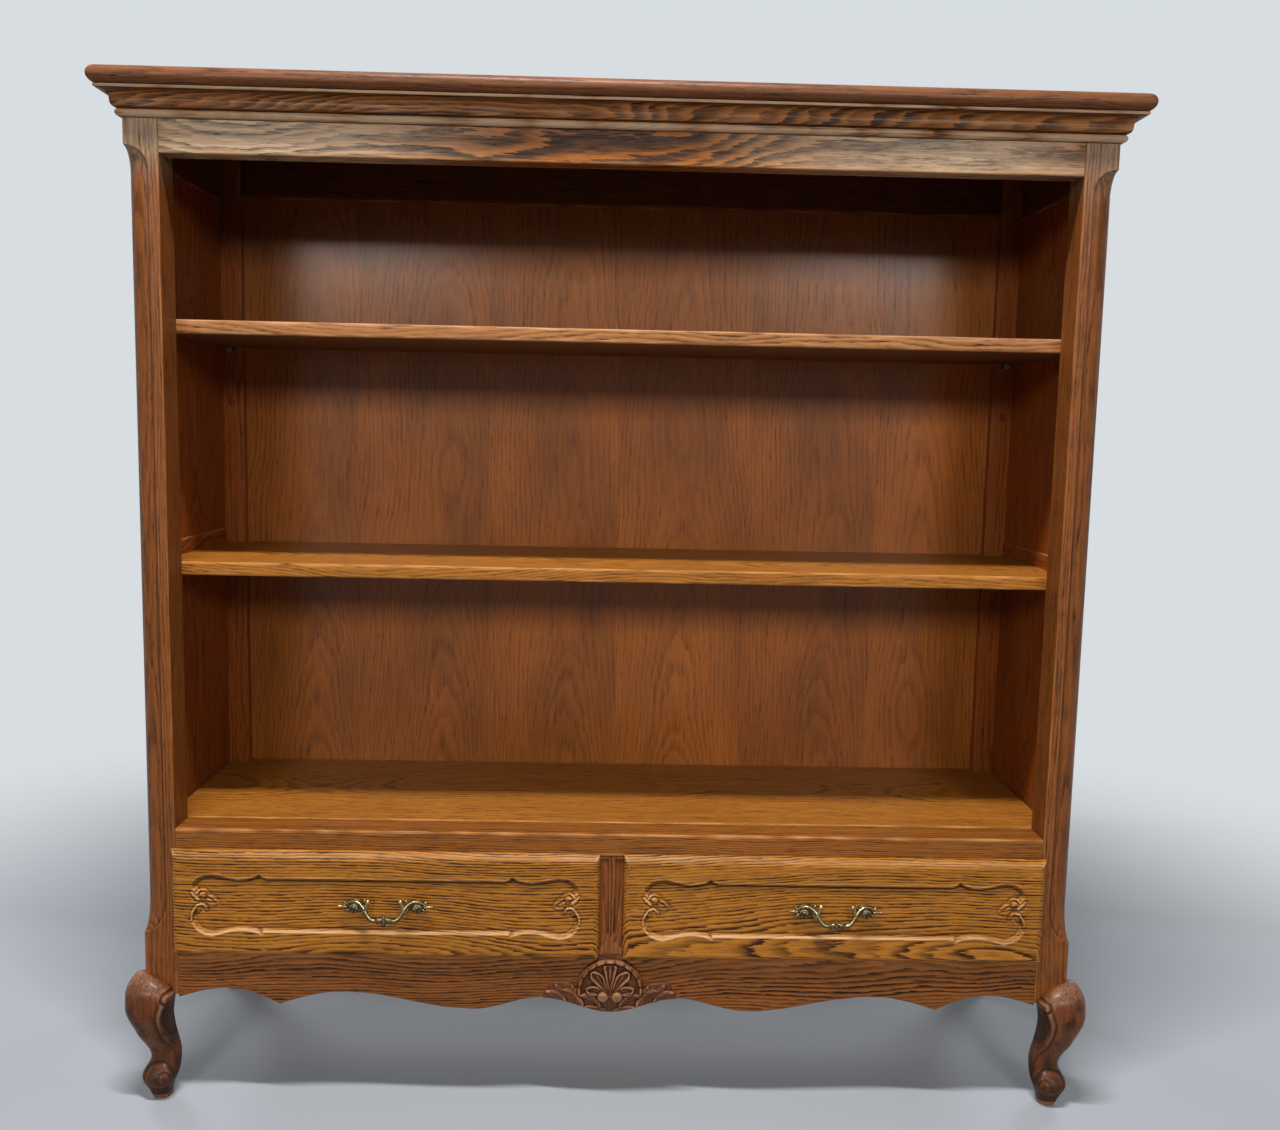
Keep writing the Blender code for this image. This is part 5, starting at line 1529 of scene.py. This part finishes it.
@dataclass
class Drawer:
    """One drawer: a carved and lipped front, its body, and the box behind it.

    The outline is the right half of the carved field's edge, from the top middle to the bottom middle.
    Straight runs at the top and bottom end in a small cusp.  Beyond it the edge waves, turns the
    corner in a C and curls in to the flower at the end.  A bar of the flower is a row of points, each
    with its radius: the ball, hood, petal, upper leaf, lower leaf, bud, hook and stem.
    """

    word: str
    lip_top: float = 0.0110
    lip_side: float = 0.0080
    lip_bottom: float = 0.0062
    lip_step: float = 0.0010
    lip_fall: float = 0.0066
    field_depth: float = 0.0040
    field_wall: float = 0.0052
    face_depth: float = 0.0112
    pitch: tuple[float, float] = (0.00165, 0.00068)
    rim: float = 0.012
    rim_pitch: float = 0.00085
    outline: tuple = (
        (0.0, 0.0412), (0.1820, 0.0412), (0.1880, 0.0432), (0.1930, 0.0486), (0.1985, 0.0450),
        (0.2048, 0.0418), (0.2150, 0.0394), (0.2256, 0.0388), (0.2350, 0.0402), (0.2450, 0.0424),
        (0.2550, 0.0452), (0.2645, 0.0470), (0.2775, 0.0458), (0.2850, 0.0428), (0.2905, 0.0384),
        (0.2950, 0.0330), (0.2970, 0.0280), (0.2960, 0.0222), (0.2918, 0.0177), (0.2895, 0.0120),
        (0.2885, 0.0040), (0.2885, -0.0050), (0.2900, -0.0100), (0.2945, -0.0120), (0.2972, -0.0165),
        (0.2983, -0.0225), (0.2957, -0.0333), (0.2925, -0.0392), (0.2879, -0.0442), (0.2775, -0.0497),
        (0.2658, -0.0516), (0.2541, -0.0486), (0.2385, -0.0438), (0.2280, -0.0423), (0.2178, -0.0420),
        (0.2100, -0.0428), (0.2022, -0.0444), (0.1950, -0.0470), (0.1885, -0.0507), (0.1880, -0.0455),
        (0.1860, -0.0449), (0.0, -0.0449))
    bars: tuple = (
        ((0.2795, 0.0129, 0.0050), (0.2787, 0.0131, 0.0050)),
        ((0.2885, 0.0150, 0.0014), (0.2848, 0.0192, 0.0018), (0.2798, 0.0207, 0.0021),
         (0.2745, 0.0185, 0.0019), (0.2722, 0.0140, 0.0014)),
        ((0.2965, 0.0165, 0.0014), (0.2920, 0.0105, 0.0030), (0.2860, 0.0056, 0.0022)),
        ((0.2722, 0.0118, 0.0018), (0.2665, 0.0098, 0.0025), (0.2610, 0.0052, 0.0025),
         (0.2566, -0.0006, 0.0013)),
        ((0.2750, 0.0022, 0.0016), (0.2690, -0.0014, 0.0027), (0.2630, -0.0022, 0.0022),
         (0.2568, -0.0010, 0.0013)),
        ((0.2745, 0.0062, 0.0020), (0.2690, 0.0042, 0.0029), (0.2640, 0.0022, 0.0016)),
        ((0.2886, -0.0036, 0.0014), (0.2820, -0.0024, 0.0022), (0.2756, -0.0060, 0.0024),
         (0.2738, -0.0128, 0.0012)),
        ((0.2905, -0.0060, 0.0013), (0.2940, -0.0130, 0.0018), (0.2962, -0.0200, 0.0020),
         (0.2968, -0.0270, 0.0018)))

    def inside(self, x: Array, z: Array) -> Array:
        """Distance to the nearest side of the field's edge, positive inside the field.

        Args:
            x: Places across from the front's middle.
            z: Heights from its middle.

        Returns:
            The distance of each point in metres.
        """
        ring = np.array(self.outline)
        ring = np.concatenate([ring, ring[::-1] * np.array([-1, 1])])
        distance = np.full(x.shape, 1e9)
        within = np.zeros(x.shape, bool)
        for (x0, z0), (x1, z1) in zip(ring, np.roll(ring, -1, axis=0)):
            span = (x1 - x0) ** 2 + (z1 - z0) ** 2
            if span < 1e-14:
                continue
            t = np.clip(((x - x0) * (x1 - x0) + (z - z0) * (z1 - z0)) / span, 0, 1)
            distance = np.minimum(distance, np.hypot(x - x0 - t * (x1 - x0), z - z0 - t * (z1 - z0)))
            if z0 != z1:
                crosses = ((z0 > z) != (z1 > z)) & (x < (x1 - x0) * (z - z0) / (z1 - z0) + x0)
                within ^= crosses
        return np.where(within, distance, -distance)

    def flower(self, x: Array, z: Array) -> Array:
        """Relief of both flowers: round bars of varying radius along smooth curves, in a shallow hollow.

        Args:
            x: Places across from the front's middle.
            z: Heights from its middle.

        Returns:
            The relief's height, negative in the hollow cut round the bars.
        """
        ax = np.abs(x)
        near = (ax > 0.248) & (np.abs(z) < 0.032)
        px, pz = ax[near][:, None], z[near][:, None]
        raised, gap = np.zeros(len(px)), np.full(len(px), 1.0)
        for bar in self.bars:
            line = through([(k, *knot) for k, knot in enumerate(bar)], np.linspace(0, len(bar) - 1, 30))
            radius = line[:, 2]
            off = np.sqrt(((px - line[:, 0]) ** 2 + (pz - line[:, 1]) ** 2) / radius ** 2)
            raised = np.maximum(raised, (radius * 0.85 * bow(off)).max(axis=1))
            gap = np.minimum(gap, (radius * (off - 1)).min(axis=1))
        result = np.zeros_like(x)
        result[near] = raised - 0.0011 * bump(gap - 0.0010, 0.0022)
        return result

    def height(self, x: Array, z: Array, half_width: float, half_height: float) -> Array:
        """Depth of the front's surface behind its flat face.

        The lip is a quarter round below a fine step, mitred where the sides meet, and the field is
        sunk inside its edge by a rounded wall.

        Args:
            x: Places across from the front's middle.
            z: Heights from its middle.
            half_width: Half the front's width.
            half_height: Half its height.

        Returns:
            The depth of each point.
        """
        share = np.minimum.reduce([(half_width - np.abs(x)) / self.lip_side, (half_height - z) / self.lip_top,
                                   (z + half_height) / self.lip_bottom])
        fall = self.lip_step + self.lip_fall * (1 - np.clip(share, 0, 1)) ** 1.7
        depth = fall * (1 - ease(share, 1.0, 1.10)) + 0.0007 * bump(share - 1.06, 0.05)
        edge = self.inside(x, z)
        ax = np.abs(x)
        wall = self.field_wall + 0.0026 * ease(ax, 0.236, 0.262) + 0.0008 * bump(ax - 0.198, 0.008)
        share = np.clip(edge / wall, 0, 1)
        sunk = self.field_depth * (0.62 * share + 0.38 * ease(share, 0.0, 1.0))
        sunk = sunk - 0.0005 * bump(edge + 0.0005, 0.0012) + 0.0006 * bump(edge - wall, 0.0011)
        sunk = sunk + 0.0004 * bump(edge - wall * 0.45, 0.0009) * ease(ax, 0.18, 0.21)
        return np.maximum(depth, 0) + sunk - self.flower(x, z)

    def build(self) -> None:
        """Make the carved front and its body, and dress the drawer's box."""
        node = f"{self.word}_drawer_front"
        body = f"{self.word}_drawer"
        low, high = corners(node)
        middle = (low + high) / 2
        half_width, half_height = (high[0] - low[0]) / 2, (high[2] - low[2]) / 2
        coarse, fine = self.pitch
        rim, edge = self.rim, self.rim_pitch
        ends = half_width - rim
        x = graded((-half_width, -ends, -0.304, -0.252, 0.252, 0.304, ends, half_width),
                   (edge, coarse, fine, coarse, fine, coarse, edge))
        z = graded((-half_height, rim - half_height, -0.030, 0.025, half_height - rim - 0.003, half_height),
                   (edge, coarse * 0.8, fine, coarse * 0.8, edge))
        grid_x, grid_z = np.meshgrid(x, z)
        depth = self.height(grid_x, grid_z, half_width, half_height)
        back = low[1] + self.face_depth
        y = low[1] + 0.0001 + np.minimum(np.maximum(depth, -0.0001), self.face_depth - 0.0007)
        front = np.stack([middle[0] + grid_x, y, middle[2] + grid_z], axis=-1)
        # Tone: painted shade on the field's upper walls, which face down, and painted highlight with wear on
        # its lower walls and on the top lip, which face up; hollows shaded and raised parts worn.
        by_edge = np.abs(self.inside(grid_x, grid_z)) < 0.010
        facing = np.clip(np.gradient(depth, z, axis=0) / 0.55, -1, 1) * by_edge
        facing = facing + 0.50 * ease(self.lip_top - (half_height - grid_z), -0.0002, 0.0015)
        tone = wear_and_hollow_shade(-depth, 5, 420.0) + 0.80 * facing
        piece = Skin().relief(front, back, tone).build(f"{self.word}_drawer_face", 50)
        side = SIDES[self.word]
        lay = Lay.of(node, Way.X, Way.Z, heart_across=-0.082 + 0.01 * side, heart_depth=0.055, ring=0.0042,
                     sway=0.050, taper=-0.04 * side)
        material = DRAWER_OAK.dress(node, lay)
        place_piece(piece, body, material, "drawer_oak", node)
        self.inner(body, material, back)

    def inner(self, body: str, material: bpy.types.Material, back: float) -> None:
        """Body behind the lip, and the finishes of the box's own boards.

        Args:
            body: Body that the drawer is.
            material: Finish of the front.
            back: Y of the back of the carved face.
        """
        left, right = [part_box(f"{self.word}_drawer_side_{end}") for end in SIDES]
        low = np.array([left[0][0], back - 0.001, left[0][2]], float)
        high = np.array([right[1][0], left[0][1] - FIT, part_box("drawer_rail")[0][2] - 0.0015], float)
        piece = Board(f"{self.word}_drawer_front_body", Way.X, low, high, 0.0010).build()
        place_piece(piece, body, material, "drawer_oak")
        for end in SIDES:
            name = f"{self.word}_drawer_side_{end}"
            dress_node(name, PALE_OAK.dress(name, Lay.of(name, Way.Y, Way.Z, heart_depth=0.05)))
            screw = f"{self.word}_handle_screw_{end}"
            dress_node(screw, Steel().dress(screw))
        for part, across in (("back", Way.Z), ("bottom", Way.Y)):
            name = f"{self.word}_drawer_{part}"
            dress_node(name, PALE_OAK.dress(name, Lay.of(name, Way.X, across, heart_depth=0.07)))


@dataclass
class Pull:
    """Cast pull: leafy rosettes, horns and a bail that dips to a leaf in its middle.

    A knot of the bail is its share of the half length, X, Z and distance out.  A bail leaf is its
    middle, its half sizes, its lean in degrees and its tone.
    """

    word: str
    centres: float = 0.047
    rosette: tuple[float, float, float] = (0.0145, 0.0115, 0.0078)
    half_bail: tuple = (
        (0.0, 0.0, -0.0146, 0.0160), (0.12, 0.0070, -0.0156, 0.0160), (0.27, 0.0148, -0.0172, 0.0158),
        (0.38, 0.0200, -0.0156, 0.0156), (0.50, 0.0248, -0.0108, 0.0150), (0.62, 0.0290, -0.0042, 0.0138),
        (0.72, 0.0325, 0.0018, 0.0122), (0.82, 0.0385, 0.0080, 0.0104), (0.91, 0.0470, 0.0104, 0.0088),
        (0.97, 0.0555, 0.0076, 0.0066), (1.0, 0.0612, 0.0030, 0.0044))
    bail_leaves: tuple = (
        (0.0, -0.0190, (0.0044, 0.0036, 0.0074), 0, 0.5),
        (0.0066, -0.0172, (0.0033, 0.0034, 0.0064), -40, 0.45),
        (-0.0066, -0.0172, (0.0033, 0.0034, 0.0064), 40, 0.45),
        (0.0112, -0.0150, (0.0024, 0.0030, 0.0050), -72, 0.4),
        (-0.0112, -0.0150, (0.0024, 0.0030, 0.0050), 72, 0.4),
        (0.0, -0.0122, (0.0040, 0.0036, 0.0036), 0, 0.5))

    def __post_init__(self) -> None:
        """Read the pull's middle from the frame."""
        low, high = corners(f"{self.word}_drawer_front")
        self.middle = (low + high) / 2
        self.middle[1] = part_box(f"{self.word}_handle")[1][1]

    def at(self, x: Array, out: Array, z: Array) -> Array:
        """Points of the frame for places across, out from the drawer and up from the pull's middle."""
        x, out, z = np.broadcast_arrays(np.asarray(x, float), out, z)
        return np.stack([self.middle[0] + x, self.middle[1] - out, self.middle[2] + z], axis=-1)

    def build(self) -> None:
        """Make the pull as one mesh of closed shells."""
        skin = Skin()
        self.bail(skin)
        for side in SIDES.values():
            self.plate(skin, side)
            self.horn(skin, side)
        piece = skin.build(f"{self.word}_pull", 50)
        place_piece(piece, f"{self.word}_drawer", Brass().dress(self.word), "brass", f"{self.word}_handle")

    def bail(self, skin: Skin) -> None:
        """The bail: a ribbed bar along a smooth curve between the rosettes, with leaves at its middle.

        Args:
            skin: Skin that the shells are added to.
        """
        half = list(self.half_bail)
        knots = [(-u, -x, z, out) for u, x, z, out in half[:0:-1]] + half
        u = np.linspace(-1, 1, 121)
        line = through(knots, u)
        path = self.at(line[:, 0], line[:, 2], line[:, 1])
        au = np.abs(u)
        radius = 0.0028 + 0.0006 * bump(au - 0.36, 0.14) + 0.0006 * bump(au - 0.66, 0.10)
        radius = radius - 0.0009 * ease(au, 0.72, 1.0)
        turn = full_turn(18)[None, :]
        skin.loft(tube(path, radius, 18, 0.16, 3), 0.30 + 0.6 * np.cos(turn * 3))
        veins = 0.5 + 0.5 * np.cos(6 * turn)
        for x, z, radii, lean, mark in self.bail_leaves:
            skin.loft(drop(self.at(x, 0.0168, z), radii, lean, veins=0.22), mark - 1.2 * veins)

    def plate(self, skin: Skin, side: float) -> None:
        """One rosette: an oval dome whose height is waved by a leaf scroll, with a tip on its outer side.

        The height is the dome plus a scroll over the top, an inner curl, a small boss and lobed leaves below.

        Args:
            skin: Skin that the shells are added to.
            side: -1 on the left, 1 on the right.
        """
        wide, high, thick = self.rosette
        turn = full_turn(60)[None, :]
        share = np.linspace(1.0, 0.04, 24)[:, None]
        lobes = 1 + 0.10 * np.cos(5 * turn + 0.6) * share * (np.sin(turn) < 0.2)
        across, rise = share * np.cos(turn), share * np.sin(turn)
        curl = np.hypot(across - 0.10, rise + 0.10)
        wound = np.arctan2(rise + 0.10, across - 0.10)
        scroll = bump(share - 0.80, 0.13) * ease(rise, -0.10, 0.15)
        scroll = scroll + bump(curl - 0.36, 0.11) * ease(np.cos(wound - 2.0), -0.7, -0.2)
        fingers = (0.5 + 0.5 * np.cos(11 * turn)) * bump(share - 0.78, 0.22) * ease(-rise, 0.0, 0.3)
        relief = 0.0018 * scroll + 0.0014 * (bump(curl, 0.16) + fingers) - 0.0006
        dome = thick * 0.60 * (1 - share ** 3.0) ** 0.7 + relief * ease(1.0 - share, 0.0, 0.12)
        rows = self.at(side * self.centres + side * wide * lobes * across, np.maximum(dome, 0.0),
                       high * lobes * rise)
        skin.loft(rows, np.clip(relief * 700 - 0.05, -0.7, 1))
        reach = np.linspace(0.0, 1.0, 22)
        path = self.at(side * (self.centres + 0.0120 + 0.0135 * reach), 0.0031 + 0 * reach, 0 * reach)
        radius = 0.0024 - 0.0006 * reach + 0.0008 * bump(reach - 0.30, 0.10)
        radius = radius + 0.0005 * bump(reach - 0.90, 0.10)
        skin.loft(tube(path, np.where(reach < 0.96, radius, 0.0008), 14, 0.05, 5), 0.35)
        for x, z, lean in ((0.0165, 0.0055, 50), (0.0165, -0.0055, 130), (-0.0095, 0.0075, -40),
                           (-0.0105, -0.0070, 210)):
            place = self.at(side * (self.centres + x - 0.004), 0.0038, z)
            skin.loft(drop(place, (0.0022, 0.0030, 0.0052), side * lean, veins=0.2), 0.3)

    def horn(self, skin: Skin, side: float) -> None:
        """One horn that leans in over the bail's shoulder and ends in a bud.

        Args:
            skin: Skin that the shells are added to.
            side: -1 on the left, 1 on the right.
        """
        share = np.linspace(0, 1, 20)
        x = 0.0296 - 0.0026 * np.sin(share * 1.9) - 0.0020 * share ** 4
        path = self.at(side * x, 0.0138 + 0.0004 * share, -0.0040 + 0.0158 * share)
        skin.loft(tube(path, 0.0035 - 0.0008 * share, 14, 0.10, 3), 0.3)
        bud = self.at(side * 0.0246, 0.0142, 0.0118)
        skin.loft(drop(bud, (0.0040, 0.0036, 0.0038), side * -20, veins=0.10), 0.5)


@dataclass
class Studio:
    """Camera at the photograph's place, plain floor, and soft light."""

    place: tuple[float, float, float] = (-0.0068, -1.95845, 1.0616)
    lens: float = 33.4
    pitch: float = 0.1144
    yaw: float = 0.0226
    roll: float = 0.0210

    def camera(self) -> None:
        """Camera looking along the fitted direction, level shift and no blur."""
        level = math.cos(self.pitch)
        ahead = Vector((math.sin(self.yaw) * level, math.cos(self.yaw) * level, -math.sin(self.pitch)))
        right = Vector((math.cos(self.yaw), -math.sin(self.yaw), 0.0))
        upward = right.cross(ahead)
        turned = math.cos(self.roll) * right + math.sin(self.roll) * upward
        raised = -math.sin(self.roll) * right + math.cos(self.roll) * upward
        data = bpy.data.cameras.new("camera")
        data.lens = self.lens
        data.sensor_width = 36.0
        data.sensor_fit = "HORIZONTAL"
        camera = bpy.data.objects.new("camera", data)
        turned = Matrix((turned, raised, -ahead)).transposed().to_4x4()
        camera.matrix_world = Matrix.Translation(self.place) @ turned
        bpy.context.scene.collection.objects.link(camera)
        bpy.context.scene.camera = camera

    def lamp(self, name: str, place: tuple, aim: tuple, size: tuple[float, float], power: float,
             colour: Colour = (1, 1, 1)) -> None:
        """Soft rectangular lamp.

        Args:
            name: Name of the lamp.
            place: Where it hangs.
            aim: Point that it is turned to.
            size: Its width and height.
            power: Its power in watts.
            colour: Colour of its light.
        """
        data = bpy.data.lights.new(name, "AREA")
        data.shape = "RECTANGLE"
        data.size, data.size_y = size
        data.energy = power
        data.color = colour
        lamp = bpy.data.objects.new(name, data)
        facing = (Vector(aim) - Vector(place)).to_track_quat("-Z", "Y").to_matrix().to_4x4()
        lamp.matrix_world = Matrix.Translation(place) @ facing
        bpy.context.scene.collection.objects.link(lamp)

    def floor(self) -> None:
        """Plain pale floor, which fades into the background far from the case."""
        mesh = bpy.data.meshes.new("floor")
        far = 9.0
        points = [(-far, -far, 0), (far, -far, 0), (far, far, 0), (-far, far, 0)]
        mesh.from_pydata(points, [], [(0, 1, 2, 3)])
        floor = bpy.data.objects.new("floor", mesh)
        g = Graph(bpy.data.materials.new("floor"))
        fade = g.node("ShaderNodeVectorMath", 1, {0: g.place()}, {"operation": "LENGTH"}).step(1.0, 2.5)
        paint = g.node("ShaderNodeBsdfPrincipled", 0, {"Base Color": srgb(160, 167, 176), "Roughness": 0.75})
        clear = g.node("ShaderNodeBsdfTransparent", 0, {})
        mesh.materials.append(g.finish(g.node("ShaderNodeMixShader", 0, {0: fade, 1: paint, 2: clear})))
        bpy.context.scene.collection.objects.link(floor)

    def world(self) -> None:
        """Pale background for camera, glossy and transmission rays, and an even dim light for the rest."""
        world = bpy.data.worlds.new("studio")
        g = Graph(world)
        camera, through_glass, glossy = [g.node("ShaderNodeLightPath", f"Is {kind} Ray", {})
                                         for kind in ("Camera", "Transmission", "Glossy")]
        seen = g.node("ShaderNodeBackground", 0, {"Color": srgb(216, 221, 225)})
        light = g.node("ShaderNodeBackground", 0, {"Color": (1.0, 1.0, 1.0, 1.0), "Strength": 0.095})
        share = camera.top(through_glass).top(glossy)
        g.finish(g.node("ShaderNodeMixShader", 0, {0: share, 1: light, 2: seen}), "ShaderNodeOutputWorld")
        bpy.context.scene.world = world

    def build(self) -> None:
        """Set up camera, floor, world and lamps."""
        self.camera()
        self.floor()
        self.world()
        warm = (1.0, 0.975, 0.935)
        self.lamp("overhead", (-0.2, -1.05, 3.4), (0, -0.15, 0.8), (1.2, 0.10), 112, warm)
        for word, side in SIDES.items():
            self.lamp(f"far_{word}", (side * 1.9, -5.9, 2.75), (0, 0, 0.9), (1.4, 0.9), 118, warm)
            self.lamp(f"rear_{word}", (side * 3.2, 3.6, 2.9), (0, 0, 0.8), (1.6, 1.2), 60)
        bpy.context.scene.view_settings.view_transform = "Standard"


def dress_runners() -> None:
    """Runners under the drawers, in bare oak."""
    for word in ("left", "centre", "right"):
        node = f"drawer_runner_{word}"
        dress_node(node, PALE_OAK.dress(node, Lay.of(node, Way.Y, Way.X, heart_depth=0.05)))


def main() -> None:
    """Build the sub-assemblies in order and report each piece."""
    logging.basicConfig(level=logging.INFO, format="%(message)s")
    carcase = Carcase()
    carcase.rails()
    carcase.shelves()
    carcase.walls()
    dress_runners()
    FrontPosts().build()
    Crown().build()
    apron = Apron()
    apron.board()
    apron.shell()
    Legs().build()
    for word in SIDES:
        Drawer(word).build()
        Pull(word).build()
    Studio().build()


if __name__ == "__main__":
    main()
